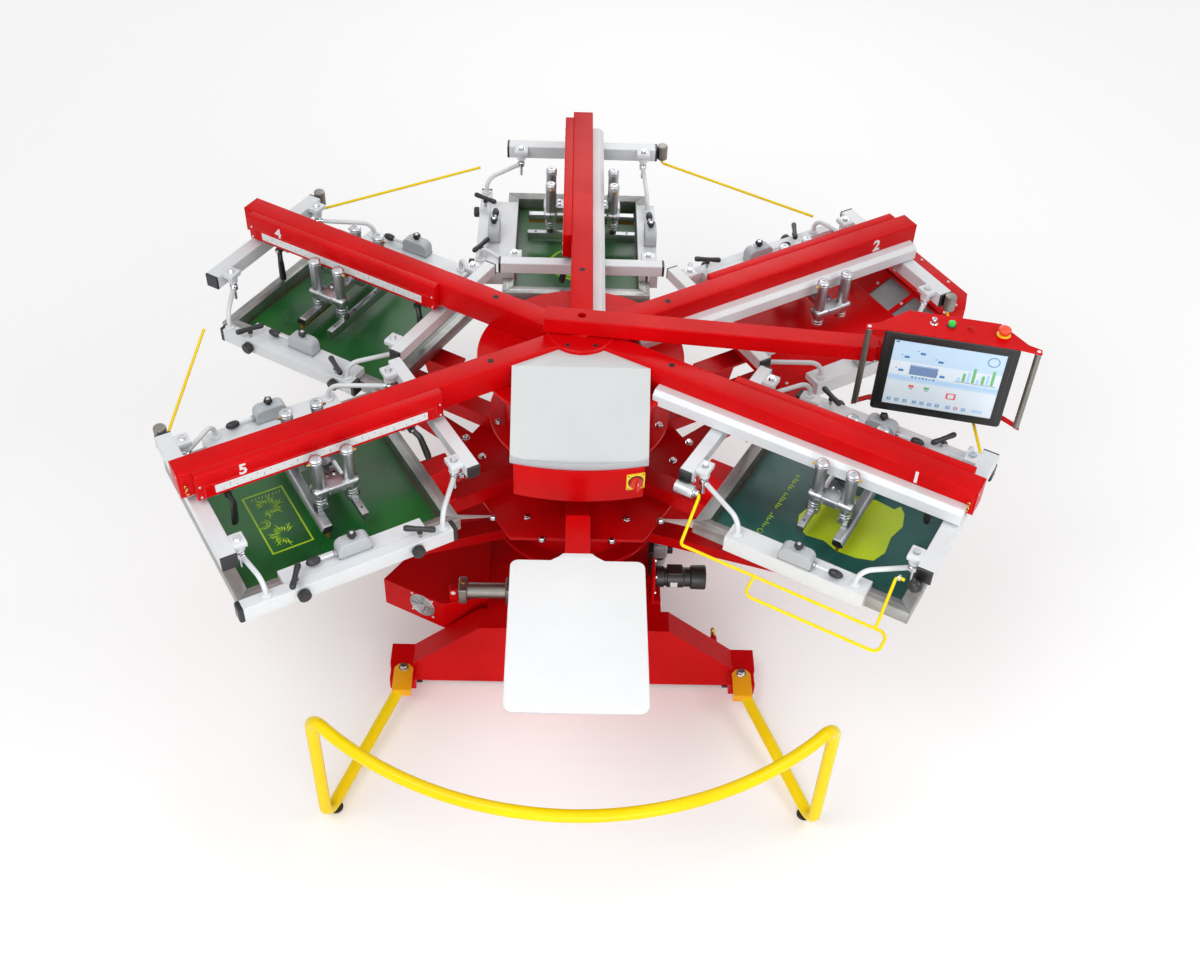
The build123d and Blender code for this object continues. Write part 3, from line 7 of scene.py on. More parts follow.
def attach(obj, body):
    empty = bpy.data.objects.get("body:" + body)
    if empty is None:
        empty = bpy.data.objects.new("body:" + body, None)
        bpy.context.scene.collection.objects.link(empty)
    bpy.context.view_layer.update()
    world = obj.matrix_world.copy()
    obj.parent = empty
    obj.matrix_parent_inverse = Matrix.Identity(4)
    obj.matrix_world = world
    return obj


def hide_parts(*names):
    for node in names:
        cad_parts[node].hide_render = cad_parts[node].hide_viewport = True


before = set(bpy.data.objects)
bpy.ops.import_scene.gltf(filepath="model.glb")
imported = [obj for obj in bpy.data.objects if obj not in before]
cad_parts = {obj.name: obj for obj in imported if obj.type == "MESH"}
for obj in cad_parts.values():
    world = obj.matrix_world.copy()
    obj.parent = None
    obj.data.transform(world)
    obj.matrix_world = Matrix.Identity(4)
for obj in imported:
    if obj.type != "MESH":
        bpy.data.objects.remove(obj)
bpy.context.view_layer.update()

print("frame loaded:", len(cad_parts), "CAD nodes")

# Heads are numbered counter-clockwise. A head's own frame is x outward along its beam, y left and z up.
# holder: middle of the screen holder; left, right, length: the screen frame; channel: start of the side
# channel; trip: length of the trip rod; carriage: place of the print carriage
heads = {
    1: {"angle": -30, "holder": 0.935, "carriage": 0.942, "length": 0.700,
        "left": 0.332, "right": 0.332, "channel": 0.640, "trip": 0.0},
    2: {"angle": 30, "holder": 0.935, "carriage": 0.930, "length": 0.700,
        "left": 0.332, "right": 0.332, "channel": 0.640, "trip": 0.750},
    3: {"angle": 90, "holder": 0.850, "carriage": 0.942, "length": 0.640,
        "left": 0.281, "right": 0.249, "channel": 0.672, "trip": 0.655},
    4: {"angle": 150, "holder": 0.885, "carriage": 0.930, "length": 0.690,
        "left": 0.332, "right": 0.332, "channel": 0.650, "trip": 0.650},
    5: {"angle": 210, "holder": 0.945, "carriage": 0.909, "length": 0.700,
        "left": 0.332, "right": 0.332, "channel": 0.652, "trip": 0.570},
}
printHeads = (1, 3, 4, 5)


# shader helpers

def feed(tree, socket, value):
    # a link from another node, or a constant
    if isinstance(value, bpy.types.NodeSocket):
        tree.links.new(value, socket)
    elif socket.type == "RGBA":
        socket.default_value = (*value, 1)
    else:
        socket.default_value = value


def feedAll(tree, node, values):
    for name, value in values.items():
        feed(tree, node.inputs[name], value)
    return node


def addNode(tree, kind, values=None, **settings):
    node = tree.nodes.new("ShaderNode" + kind)
    for name, value in settings.items():
        setattr(node, name, value)
    return feedAll(tree, node, values or {})


def calculate(tree, operation, *terms, kind="Math", result=0):
    return addNode(tree, kind, dict(enumerate(terms)), operation=operation).outputs[result]


def mapRange(tree, source, low, high, toLow=0.0, toHigh=1.0):
    span = {"Value": source, "From Min": low, "From Max": high, "To Min": toLow, "To Max": toHigh}
    return addNode(tree, "MapRange", span).outputs["Result"]


def objectPlace(tree):
    return addNode(tree, "TexCoord").outputs["Object"]


def addNoise(tree, where, scale, detail, roughness=0.55):
    values = {"Vector": where, "Scale": scale, "Detail": detail, "Roughness": roughness}
    return addNode(tree, "TexNoise", values).outputs["Fac"]


def startMaterial(name):
    material = bpy.data.materials.new(name)
    material.use_nodes = True
    return material, material.node_tree, material.node_tree.nodes["Principled BSDF"]


# camera, light and floor

camera = {"place": (-0.05365, -3.6606, 4.1657), "yaw": 2.104, "pitch": 44.355, "roll": -2.684,
          "lens": 43.81, "sensor": 36}
light = {"world": 0.50, "key": 112.0, "fill": 58.0, "rim": 42.0, "front": 70.0}
# near, far: where the paper's glow begins and is full; low, high: its strength there
paper = {"size": 80, "colour": (0.93, 0.93, 0.93), "near": 2.5, "far": 12.0, "low": 0.16, "high": 0.60}


def addCamera():
    yaw, pitch, roll = (math.radians(camera[k]) for k in ("yaw", "pitch", "roll"))
    ahead = Vector((math.sin(yaw) * math.cos(pitch), math.cos(yaw) * math.cos(pitch), -math.sin(pitch)))
    right = Vector((math.cos(yaw), -math.sin(yaw), 0))
    down = ahead.cross(right)
    leanRight = right * math.cos(roll) + down * math.sin(roll)
    leanDown = down * math.cos(roll) - right * math.sin(roll)
    turn = Matrix((leanRight, -leanDown, -ahead)).transposed().to_4x4()
    bpy.ops.object.camera_add()
    cam = bpy.context.object
    cam.matrix_world = Matrix.Translation(camera["place"]) @ turn
    cam.data.lens = camera["lens"]
    cam.data.sensor_width = camera["sensor"]
    bpy.context.scene.camera = cam


def addLight(name, place, aim, size, power):
    bpy.ops.object.light_add(type="AREA", location=place)
    lamp = bpy.context.object
    lamp.name = name
    lamp.data.shape = "DISK"
    lamp.data.size = size
    lamp.data.energy = power
    lamp.rotation_euler = (Vector(aim) - Vector(place)).to_track_quat("-Z", "Y").to_euler()


def addSeenMask(tree):
    # 1 for rays that show the backdrop: straight from the camera, mirrored or through glass
    path = addNode(tree, "LightPath").outputs
    straight = calculate(tree, "MAXIMUM", path["Is Camera Ray"], path["Is Transmission Ray"])
    return calculate(tree, "MAXIMUM", straight, path["Is Glossy Ray"])


def addWorld():
    world = bpy.data.worlds.new("studio")
    bpy.context.scene.world = world
    world.use_nodes = True
    tree = world.node_tree
    strength = mapRange(tree, addSeenMask(tree), 0, 1, light["world"], 1.0)
    feedAll(tree, tree.nodes["Background"], {"Color": (1, 1, 1), "Strength": strength})


def addFloor():
    # the paper brightens away from the lamps, so that it meets the white backdrop
    bpy.ops.mesh.primitive_plane_add(size=paper["size"])
    floor = bpy.context.object
    floor.name = "studioFloor"
    material, tree, shade = startMaterial("studioPaper")
    away = calculate(tree, "LENGTH", objectPlace(tree), kind="VectorMath", result="Value")
    glow = mapRange(tree, away, paper["near"], paper["far"], paper["low"], paper["high"])
    feedAll(tree, shade, {"Base Color": paper["colour"], "Roughness": 0.9, "Emission Color": (1, 1, 1),
                          "Emission Strength": calculate(tree, "MULTIPLY", addSeenMask(tree), glow)})
    floor.data.materials.append(material)


addCamera()
addWorld()
addLight("keyLight", (-2.2, -2.8, 5.2), (0, 0, 0.9), 3.4, light["key"])
addLight("fillLight", (3.6, -1.2, 4.4), (0, 0, 0.9), 3.0, light["fill"])
addLight("rimLight", (0.5, 4.4, 3.8), (0, 0, 1.0), 3.0, light["rim"])
addLight("frontLight", (0.6, -5.0, 1.7), (0, 0, 0.7), 3.0, light["front"])
addFloor()
bpy.context.scene.view_settings.view_transform = "Standard"
print("camera and studio ready")


# shared shader groups

def newGroup(name, inputs, outputs):
    group = bpy.data.node_groups.new(name, "ShaderNodeTree")
    for label, value in inputs.items():
        kind = "NodeSocketFloat" if isinstance(value, float) else "NodeSocketVector"
        group.interface.new_socket(label, in_out="INPUT", socket_type=kind).default_value = value
    for label in outputs:
        group.interface.new_socket(label, in_out="OUTPUT", socket_type="NodeSocketFloat")
    return group, group.nodes.new("NodeGroupInput").outputs, group.nodes.new("NodeGroupOutput")


def makeEdgeWear():
    # edges found from the bevelled normal, broken up by noise: a painted highlight on the bright coats, edge
    # wear on the pale ones
    group, into, out = newGroup("edgeWearAndHighlight", {"Radius": 0.002, "Amount": 0.5}, ["Mask"])
    bevel = addNode(group, "Bevel", {"Radius": into["Radius"]}, samples=4)
    geometry = addNode(group, "NewGeometry")
    dot = calculate(group, "DOT_PRODUCT", bevel.outputs["Normal"], geometry.outputs["Normal"],
                    kind="VectorMath", result="Value")
    broken = mapRange(group, addNoise(group, objectPlace(group), 45, 6), 0.35, 0.62)
    both = calculate(group, "MULTIPLY", mapRange(group, dot, 0.97, 0.80), broken)
    feedAll(group, out, {"Mask": calculate(group, "MULTIPLY", both, into["Amount"])})
    return group


def makeSpeckle():
    # the fine hammered grain of powder coat, and slow changes of tone
    group, into, out = newGroup("coatSpeckle", {"Grain": 900.0}, ["Speckle", "Tone", "Height"])
    where = objectPlace(group)
    cells = addNode(group, "TexVoronoi", {"Scale": into["Grain"], "Vector": where}, feature="SMOOTH_F1")
    feedAll(group, out, {
        "Speckle": mapRange(group, addNoise(group, where, 420, 2), 0.40, 0.66),
        "Tone": mapRange(group, addNoise(group, where, 3.5, 4), 0.3, 0.7),
        "Height": cells.outputs["Distance"]})
    return group


def makeBrush():
    # fine lines drawn along one axis
    group, into, out = newGroup("brushLines", {"Stretch": (4.0, 700.0, 700.0)}, ["Line", "Cloud"])
    where = objectPlace(group)
    stretched = calculate(group, "MULTIPLY", where, into["Stretch"], kind="VectorMath")
    feedAll(group, out, {
        "Line": addNoise(group, stretched, 1.0, 3),
        "Cloud": mapRange(group, addNoise(group, where, 14, 5), 0.3, 0.7)})
    return group


edgeWearAndHighlight = makeEdgeWear()
coatSpeckle = makeSpeckle()
brushLines = makeBrush()


# materials

def addGroup(tree, group, values):
    return addNode(tree, "Group", values, node_tree=group).outputs


def mixColour(tree, factor, first, second):
    node = addNode(tree, "Mix", {"Factor": factor}, data_type="RGBA")
    for name, value in (("A", first), ("B", second)):
        feed(tree, next(i for i in node.inputs if i.name == name and i.type == "RGBA"), value)
    return next(o for o in node.outputs if o.type == "RGBA")


def addBump(tree, height, strength, distance):
    values = {"Strength": strength, "Distance": distance, "Height": height}
    return addNode(tree, "Bump", values).outputs["Normal"]


def makeCoat(name, look):
    # painted metal: grain, slow tone, and edges in a second colour, a painted highlight on the bright coats
    # and worn paint on the pale ones
    material, tree, shade = startMaterial(name)
    speckle = addGroup(tree, coatSpeckle, {"Grain": look.get("grain", 900.0)})
    wearAndHighlight = addGroup(tree, edgeWearAndHighlight, {"Radius": 0.0016, "Amount": look["wearAndHighlight"]})
    colour = mixColour(tree, speckle["Speckle"], look["colour"], look["fleck"])
    colour = mixColour(tree, speckle["Tone"], colour, look["deep"])
    feedAll(tree, shade, {
        "Base Color": mixColour(tree, wearAndHighlight["Mask"], colour, look["wornAndLitEdge"]),
        "Roughness": mapRange(tree, speckle["Tone"], 0, 1, *look["rough"]),
        "Normal": addBump(tree, speckle["Height"], look.get("bump", 0.12), 0.0006),
        "Specular IOR Level": look.get("specular", 0.5),
        "Coat Weight": look["coat"],
        "Coat Roughness": 0.12})
    return material


def makeMetal(name, look):
    # bare or plated metal with drawn lines and handling marks
    material, tree, shade = startMaterial(name)
    brush = addGroup(tree, brushLines, {"Stretch": (6.0, 500.0, 500.0)})
    feedAll(tree, shade, {
        "Base Color": mixColour(tree, brush["Cloud"], look["colour"], look["shade"]),
        "Metallic": 1.0,
        "Roughness": mapRange(tree, brush["Line"], 0.3, 0.7, *look["rough"]),
        "Normal": addBump(tree, brush["Line"], look.get("bump", 0.05), 0.0003)})
    return material


def makePlastic(name, look):
    # moulded plastic or rubber
    material, tree, shade = startMaterial(name)
    speckle = addGroup(tree, coatSpeckle, {"Grain": 1600.0})
    feedAll(tree, shade, {
        "Base Color": mixColour(tree, speckle["Tone"], look["colour"], look["shade"]),
        "Roughness": mapRange(tree, speckle["Speckle"], 0, 1, *look["rough"]),
        "Normal": addBump(tree, speckle["Height"], 0.08, 0.0003)})
    return material


def makeMesh(name, look):
    # stretched dyed fabric: fine crossed threads and a smeared glossy film
    material, tree, shade = startMaterial(name)
    where = objectPlace(tree)
    threads = addNode(tree, "TexWave", {"Scale": 420, "Distortion": 0.4, "Vector": where})
    smear = addNoise(tree, where, 5, 2, 0.5)
    feedAll(tree, shade, {
        "Base Color": mixColour(tree, mapRange(tree, smear, 0.30, 0.72), look["colour"], look["shade"]),
        "Roughness": mapRange(tree, smear, 0.3, 0.7, *look["rough"]),
        "Specular IOR Level": 0.6,
        "Normal": addBump(tree, threads.outputs["Fac"], 0.15, 0.0003)})
    return material


def makeFlat(name, look):
    # even printed or lit colour with a faint cloud in it
    material, tree, shade = startMaterial(name)
    pale = tuple(min(1.0, value * 1.06 + 0.01) for value in look["colour"])
    mixed = mixColour(tree, addNoise(tree, objectPlace(tree), 30, 2), look["colour"], pale)
    feedAll(tree, shade, {"Base Color": mixed, "Roughness": look.get("rough", 0.25)})
    if "glow" in look:
        feedAll(tree, shade, {"Emission Color": mixed, "Emission Strength": look["glow"]})
    return material


# wornAndLitEdge is the edge colour: on the red, orange and yellow coats a lighter tint as a painted
# highlight, on the white, pallet, hood and black coats worn paint
coats = {
    "redCoat": {
        "colour": (0.62, 0.0, 0.001), "fleck": (0.80, 0.006, 0.010), "deep": (0.54, 0.0, 0.001),
        "wornAndLitEdge": (0.98, 0.26, 0.24), "wearAndHighlight": 0.75, "rough": (0.24, 0.40), "grain": 650.0, "bump": 0.25,
        "coat": 0.03, "specular": 0.09},
    # darkRedAndShade: the red coat darkened, as painted shade on the hub plate and the pallet arms below the
    # pallets; it is also the push button's own dark red
    "darkRedAndShade": {
        "colour": (0.54, 0.0, 0.001), "fleck": (0.70, 0.005, 0.008), "deep": (0.38, 0.0, 0.001),
        "wornAndLitEdge": (0.95, 0.24, 0.22), "wearAndHighlight": 0.6, "rough": (0.26, 0.43), "grain": 650.0, "bump": 0.25,
        "coat": 0.03, "specular": 0.10},
    "whiteCoat": {
        "colour": (0.75, 0.78, 0.80), "fleck": (0.80, 0.82, 0.84), "deep": (0.70, 0.73, 0.76),
        "wornAndLitEdge": (0.62, 0.63, 0.66), "wearAndHighlight": 0.35, "rough": (0.28, 0.42), "bump": 0.06, "coat": 0.25},
    "palletCoat": {
        "colour": (0.87, 0.89, 0.90), "fleck": (0.90, 0.91, 0.92), "deep": (0.83, 0.85, 0.86),
        "wornAndLitEdge": (0.66, 0.67, 0.70), "wearAndHighlight": 0.35, "rough": (0.34, 0.48), "bump": 0.06, "coat": 0.10},
    "orangeCoat": {
        "colour": (0.95, 0.44, 0.004), "fleck": (0.98, 0.50, 0.02), "deep": (0.90, 0.36, 0.003),
        "wornAndLitEdge": (1.0, 0.70, 0.2), "wearAndHighlight": 0.5, "rough": (0.24, 0.36), "bump": 0.05, "coat": 0.08,
        "specular": 0.2},
    "hoodCoat": {
        "colour": (0.60, 0.62, 0.62), "fleck": (0.64, 0.66, 0.66), "deep": (0.56, 0.58, 0.59),
        "wornAndLitEdge": (0.50, 0.51, 0.53), "wearAndHighlight": 0.25, "rough": (0.30, 0.44), "bump": 0.05, "coat": 0.12},
    "yellowCoat": {
        "colour": (0.98, 0.74, 0.0), "fleck": (1.0, 0.80, 0.01), "deep": (0.96, 0.66, 0.0),
        "wornAndLitEdge": (1.0, 0.88, 0.25), "wearAndHighlight": 0.5, "rough": (0.20, 0.32), "bump": 0.05, "coat": 0.10,
        "specular": 0.16},
    "blackCoat": {
        "colour": (0.018, 0.018, 0.02), "fleck": (0.03, 0.03, 0.032), "deep": (0.012, 0.012, 0.013),
        "wornAndLitEdge": (0.2, 0.2, 0.2), "wearAndHighlight": 0.4, "rough": (0.3, 0.45), "coat": 0.2},
}
metals = {
    "aluminium": {"colour": (0.58, 0.59, 0.61), "shade": (0.45, 0.46, 0.49), "rough": (0.28, 0.44)},
    "steel": {"colour": (0.50, 0.51, 0.52), "shade": (0.38, 0.39, 0.41), "rough": (0.30, 0.44)},
    "frameMetal": {"colour": (0.43, 0.43, 0.42), "shade": (0.29, 0.29, 0.28), "rough": (0.34, 0.50)},
    "satinSteel": {"colour": (0.30, 0.29, 0.265), "shade": (0.22, 0.21, 0.19), "rough": (0.36, 0.50)},
    "darkSteel": {"colour": (0.12, 0.12, 0.13), "shade": (0.08, 0.08, 0.085), "rough": (0.25, 0.42)},
    "chrome": {"colour": (0.66, 0.67, 0.69), "shade": (0.54, 0.55, 0.58), "rough": (0.10, 0.20),
               "bump": 0.02},
    "brass": {"colour": (0.72, 0.48, 0.16), "shade": (0.58, 0.36, 0.10), "rough": (0.15, 0.3)},
}
plastics = {
    "blackPlastic": {"colour": (0.012, 0.012, 0.013), "shade": (0.022, 0.022, 0.024), "rough": (0.28, 0.42)},
    "greyPlastic": {"colour": (0.50, 0.53, 0.56), "shade": (0.44, 0.47, 0.50), "rough": (0.32, 0.44)},
    # the dark red-black of the beams' bolt holes, painted shade
    "holeShadeBlack": {"colour": (0.020, 0.002, 0.003), "shade": (0.012, 0.002, 0.002), "rough": (0.62, 0.78)},
    "rubber": {"colour": (0.30, 0.16, 0.02), "shade": (0.24, 0.12, 0.015), "rough": (0.25, 0.4)},
    "redPlastic": {"colour": (0.75, 0.03, 0.008), "shade": (0.62, 0.02, 0.006), "rough": (0.2, 0.3)},
    "whitePrint": {"colour": (0.82, 0.82, 0.83), "shade": (0.78, 0.78, 0.79), "rough": (0.35, 0.45)},
}
meshes = {
    "meshGreen": {"colour": (0.002, 0.070, 0.010), "shade": (0.004, 0.135, 0.014), "rough": (0.22, 0.40)},
    "meshTeal": {"colour": (0.006, 0.070, 0.060), "shade": (0.012, 0.11, 0.090), "rough": (0.20, 0.36)},
    "meshRim": {"colour": (0.10, 0.035, 0.02), "shade": (0.02, 0.08, 0.03), "rough": (0.35, 0.5)},
    "stencil": {"colour": (0.42, 0.66, 0.01), "shade": (0.32, 0.54, 0.01), "rough": (0.30, 0.45)},
    "stencilPale": {"colour": (0.60, 0.74, 0.005), "shade": (0.48, 0.66, 0.008), "rough": (0.26, 0.40)},
}
flats = {
    "uiPale": {"colour": (0.50, 0.66, 0.82), "glow": 0.24},
    "uiWhite": {"colour": (0.66, 0.74, 0.82), "glow": 0.26},
    "uiSky": {"colour": (0.40, 0.58, 0.80), "glow": 0.30},
    "uiSlate": {"colour": (0.16, 0.24, 0.42), "glow": 0.30},
    "uiBlue": {"colour": (0.05, 0.18, 0.42), "glow": 0.30},
    "uiInk": {"colour": (0.06, 0.10, 0.18), "glow": 0.10},
    "uiRed": {"colour": (0.70, 0.12, 0.12), "glow": 0.25},
    "uiGreen": {"colour": (0.16, 0.46, 0.20), "glow": 0.25},
    "litGreen": {"colour": (0.01, 0.50, 0.05), "glow": 0.25, "rough": 0.15},
    "mushroom": {"colour": (0.85, 0.07, 0.015), "rough": 0.22},
    "switchYellow": {"colour": (0.90, 0.62, 0.01), "rough": 0.35},
}
finish = {}
for make, looks in ((makeCoat, coats), (makeMetal, metals), (makePlastic, plastics),
                    (makeMesh, meshes), (makeFlat, flats)):
    for name, look in looks.items():
        finish[name] = make(name, look)
print("materials made:", len(finish))


# modelling helpers

def deselect():
    bpy.ops.object.select_all(action="DESELECT")


def activate(piece):
    deselect()
    piece.select_set(True)
    bpy.context.view_layer.objects.active = piece
    return piece


def applyAll(piece):
    activate(piece)
    for modifier in list(piece.modifiers):
        bpy.ops.object.modifier_apply(modifier=modifier.name)
    return piece


def soften(piece, width, segments=3, angle=30):
    edge = piece.modifiers.new("soften", "BEVEL")
    edge.width = width
    edge.segments = segments
    edge.limit_method = "ANGLE"
    edge.angle_limit = math.radians(angle)
    return applyAll(piece)


def carve(piece, cutter):
    cut = piece.modifiers.new("carve", "BOOLEAN")
    cut.operation = "DIFFERENCE"
    cut.solver = "EXACT"
    cut.object = cutter
    applyAll(piece)
    discard(cutter)
    return piece


def discard(*parts):
    for part in parts:
        bpy.data.objects.remove(part)


def paint(piece, material):
    piece.data.materials.clear()
    piece.data.materials.append(finish[material])
    return piece


def moved(x, y, z):
    return Matrix.Translation((x, y, z))


def turned(degrees, axis="Z"):
    return Matrix.Rotation(math.radians(degrees), 4, axis)


def aimed(start, way):
    # from z upward at the origin to along the way at the start
    return Matrix.Translation(start) @ way.to_track_quat("Z", "Y").to_matrix().to_4x4()


def onHead(number, shift=Matrix()):
    return turned(heads[number]["angle"]) @ shift


def placed(piece, matrix):
    piece.data.transform(matrix)
    return piece


def allPlaced(parts, matrix):
    return [placed(part, matrix) for part in parts]


def copied(piece, matrix):
    twin = piece.copy()
    twin.data = piece.data.copy()
    twin.data.transform(matrix)
    bpy.context.collection.objects.link(twin)
    return twin


def repeated(parts, spots):
    # a copy of every part at every spot, in place of the parts themselves
    copies = [copied(part, spot) for spot in spots for part in parts]
    discard(*parts)
    return copies


def joined(parts):
    deselect()
    for part in parts:
        part.select_set(True)
    bpy.context.view_layer.objects.active = parts[0]
    bpy.ops.object.join()
    return bpy.context.object


def finishPiece(name, parts, body, slot, *nodes):
    piece = joined(parts)
    piece.name = name
    bpy.ops.object.shade_smooth_by_angle(angle=math.radians(35))
    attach(piece, body)
    if nodes:
        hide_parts(*nodes)
    return piece


def dressed(piece, material, edge, segments, angle):
    # soft edges and a finish, where they are given
    if edge:
        soften(piece, edge, segments, angle)
    return paint(piece, material) if material else piece


def addBlock(x, y, z, material="", edge=0.0, segments=3, angle=30):
    deselect()
    bpy.ops.mesh.primitive_cube_add(size=1, location=[(low + high) / 2 for low, high in (x, y, z)])
    piece = bpy.context.object
    piece.scale = [high - low for low, high in (x, y, z)]
    bpy.ops.object.transform_apply(location=True, rotation=True, scale=True)
    return dressed(piece, material, edge, segments, angle)


def startRaising():
    bpy.ops.object.mode_set(mode="EDIT")
    bpy.ops.mesh.select_all(action="SELECT")


def endRaising():
    bpy.ops.mesh.select_all(action="SELECT")
    bpy.ops.mesh.normals_make_consistent(inside=False)
    bpy.ops.object.mode_set(mode="OBJECT")


def addOutline(corners, axis, low, high, material="", edge=0.0, segments=3, angle=30):
    # a flat outline square to an axis, filled, then extruded from low to high
    deselect()
    bpy.ops.mesh.primitive_circle_add(vertices=len(corners), radius=1, fill_type="NGON")
    piece = bpy.context.object
    for vertex, (a, b) in zip(piece.data.vertices, corners):
        vertex.co = {"x": (low, a, b), "y": (a, low, b), "z": (a, b, low)}[axis]
    step = [high - low if name == axis else 0 for name in "xyz"]
    startRaising()
    bpy.ops.mesh.extrude_region_move(TRANSFORM_OT_translate={"value": step})
    endRaising()
    return dressed(piece, material, edge, segments, angle)


def addTurned(profile, sides=32, material="", spot=Matrix()):
    # a round piece raised ring by ring from a disc; profile holds (radius, height)
    deselect()
    radius, height = profile[0]
    bpy.ops.mesh.primitive_circle_add(vertices=sides, radius=radius, fill_type="NGON",
                                      location=(0, 0, height))
    piece = bpy.context.object
    bpy.ops.object.transform_apply(location=True, rotation=True, scale=True)
    startRaising()
    for nextRadius, nextHeight in profile[1:]:
        bpy.ops.mesh.extrude_region_move(TRANSFORM_OT_translate={"value": (0, 0, nextHeight - height)})
        size = nextRadius / radius
        bpy.ops.transform.resize(value=(size, size, 1), center_override=(0, 0, nextHeight))
        radius, height = nextRadius, nextHeight
    endRaising()
    return placed(paint(piece, material) if material else piece, spot)


def addRod(start, end, radius, sides=24, material="", tip=0.0):
    # a straight rod with small chamfers at its ends
    way = Vector(end) - Vector(start)
    edge, long = tip or radius * 0.12, way.length
    profile = [(radius - edge, 0), (radius, edge), (radius, long - edge), (radius - edge, long)]
    return addTurned(profile, sides, material, aimed(start, way))


def addPipe(points, radius, bend, material):
    # a round rod along the points, with a smooth bend at each corner
    points = [Vector(point) for point in points]
    line = bpy.data.curves.new("pipe", "CURVE")
    line.dimensions = "3D"
    line.bevel_depth = radius
    line.bevel_resolution = 4
    line.resolution_u = 8
    line.use_fill_caps = True
    knots = [(points[0], None, None)]
    for before, corner, after in zip(points, points[1:], points[2:]):
        into, out = (corner - before).normalized(), (after - corner).normalized()
        turn = into.angle(out)
        back = bend * math.tan(turn / 2)
        reach = 4 / 3 * math.tan(turn / 4) * bend
        knots.append((corner - into * back, None, corner - into * (back - reach)))
        knots.append((corner + out * back, corner + out * (back - reach), None))
    knots.append((points[-1], None, None))
    places = [place for place, left, right in knots]
    spline = line.splines.new("BEZIER")
    spline.bezier_points.add(len(knots) - 1)
    for index, (point, (place, left, right)) in enumerate(zip(spline.bezier_points, knots)):
        point.co = place
        point.handle_left = left or place.lerp(places[max(index - 1, 0)], 1 / 3)
        point.handle_right = right or place.lerp(places[min(index + 1, len(places) - 1)], 1 / 3)
    piece = bpy.data.objects.new("pipe", line)
    bpy.context.collection.objects.link(piece)
    activate(piece)
    bpy.ops.object.convert(target="MESH")
    return paint(bpy.context.object, material)


def addBolt(radius, height, material):
    # a hexagon head on a washer, standing on z = 0
    head = addTurned([(radius, 0.0), (radius, height * 0.75), (radius * 0.84, height)], 6,
                     spot=moved(0, 0, height * 0.12))
    ring = addTurned([(radius * 1.25, 0.0), (radius * 1.25, height * 0.16)], 24)
    return paint(joined([head, ring]), material)


def addScrew(radius, material, spot=Matrix()):
    # a pan-head screw with a socket, standing on z = 0
    high, sunk = radius * 0.55, radius * 0.45
    profile = [(radius, 0.0), (radius, high * 0.5), (radius * 0.8, high), (sunk, high), (sunk, high * 0.3)]
    return addTurned(profile, 16, material, spot)


def onEachHead(parts):
    return repeated(parts, [onHead(number) for number in heads])


def ringCorners(count, reachOf):
    # corners round the origin, each at the radius that reachOf gives for its number
    turns = [(step, step * math.tau / count) for step in range(count)]
    return [(reachOf(step) * math.cos(angle), reachOf(step) * math.sin(angle)) for step, angle in turns]


def roundedCorners(x, y, corner, steps=8):
    # a rectangle with round corners, counter-clockwise
    points = []
    for cx, cy, start in ((x[1] - corner, y[0] + corner, -90), (x[1] - corner, y[1] - corner, 0),
                          (x[0] + corner, y[1] - corner, 90), (x[0] + corner, y[0] + corner, 180)):
        for step in range(steps + 1):
            angle = math.radians(start + 90 * step / steps)
            points.append((cx + corner * math.cos(angle), cy + corner * math.sin(angle)))
    return points


# beams, ruler covers and digits

beamLook = {"half": 0.037, "bottom": 1.156, "top": 1.250, "start": 0.07, "reach": 1.340, "round": 0.005,
            "plate": 0.003, "plug": 0.325, "screwY": (-0.028, 0.028), "screwZ": (1.168, 1.238)}
coverLook = {"inner": 0.522, "outer": 1.300, "far": 0.067, "round": 0.003, "lipX": (0.546, 1.276),
             "lipZ": (1.160, 1.203), "screwX": (0.533, 1.288), "screwZ": (1.206, 1.166)}
stripLook = {"inner": 0.576, "outer": 1.246, "bottom": 1.167, "top": 1.196, "dotStep": 0.0205, "dot": 0.0016}
digitLook = {
    4: {"side": 1, "along": 1.170, "size": 0.052, "low": 1.2045},
    5: {"side": 1, "along": 1.158, "size": 0.052, "low": 1.2045},
    1: {"side": -1, "along": 1.155, "size": 0.060, "low": 1.199},
    2: {"side": -1, "along": 1.165, "size": 0.060, "low": 1.199},
}


def addBeams():
    half, bottom, top, reach = (beamLook[key] for key in ("half", "bottom", "top", "reach"))
    tip = reach - beamLook["plate"]
    beam = addBlock((beamLook["start"], tip), (-half, half), (bottom, top), "redCoat", beamLook["round"], 4)
    plate = addBlock((tip, reach), (0.0005 - half, half - 0.0005), (bottom + 0.0005, top - 0.0005), "redCoat",
                     0.001, 2)
    # a near black ring in the bolt hole on the beam's top: painted shade inside the hole
    plug = addTurned([(0.0100, 0), (0.0100, 0.0006), (0.0082, 0.0006), (0.0082, 0.0002)], 24, "holeShadeBlack",
                     moved(beamLook["plug"], 0, top - 0.0001))
    spots = [moved(reach - 0.0004, y, z) @ turned(90, "Y") for y in beamLook["screwY"]
             for z in beamLook["screwZ"]]
    screws = repeated([addScrew(0.0035, "chrome")], spots)
    finishPiece("beams", onEachHead([beam, plate, plug, *screws]), "frame", "red_coat", "arm_beams")


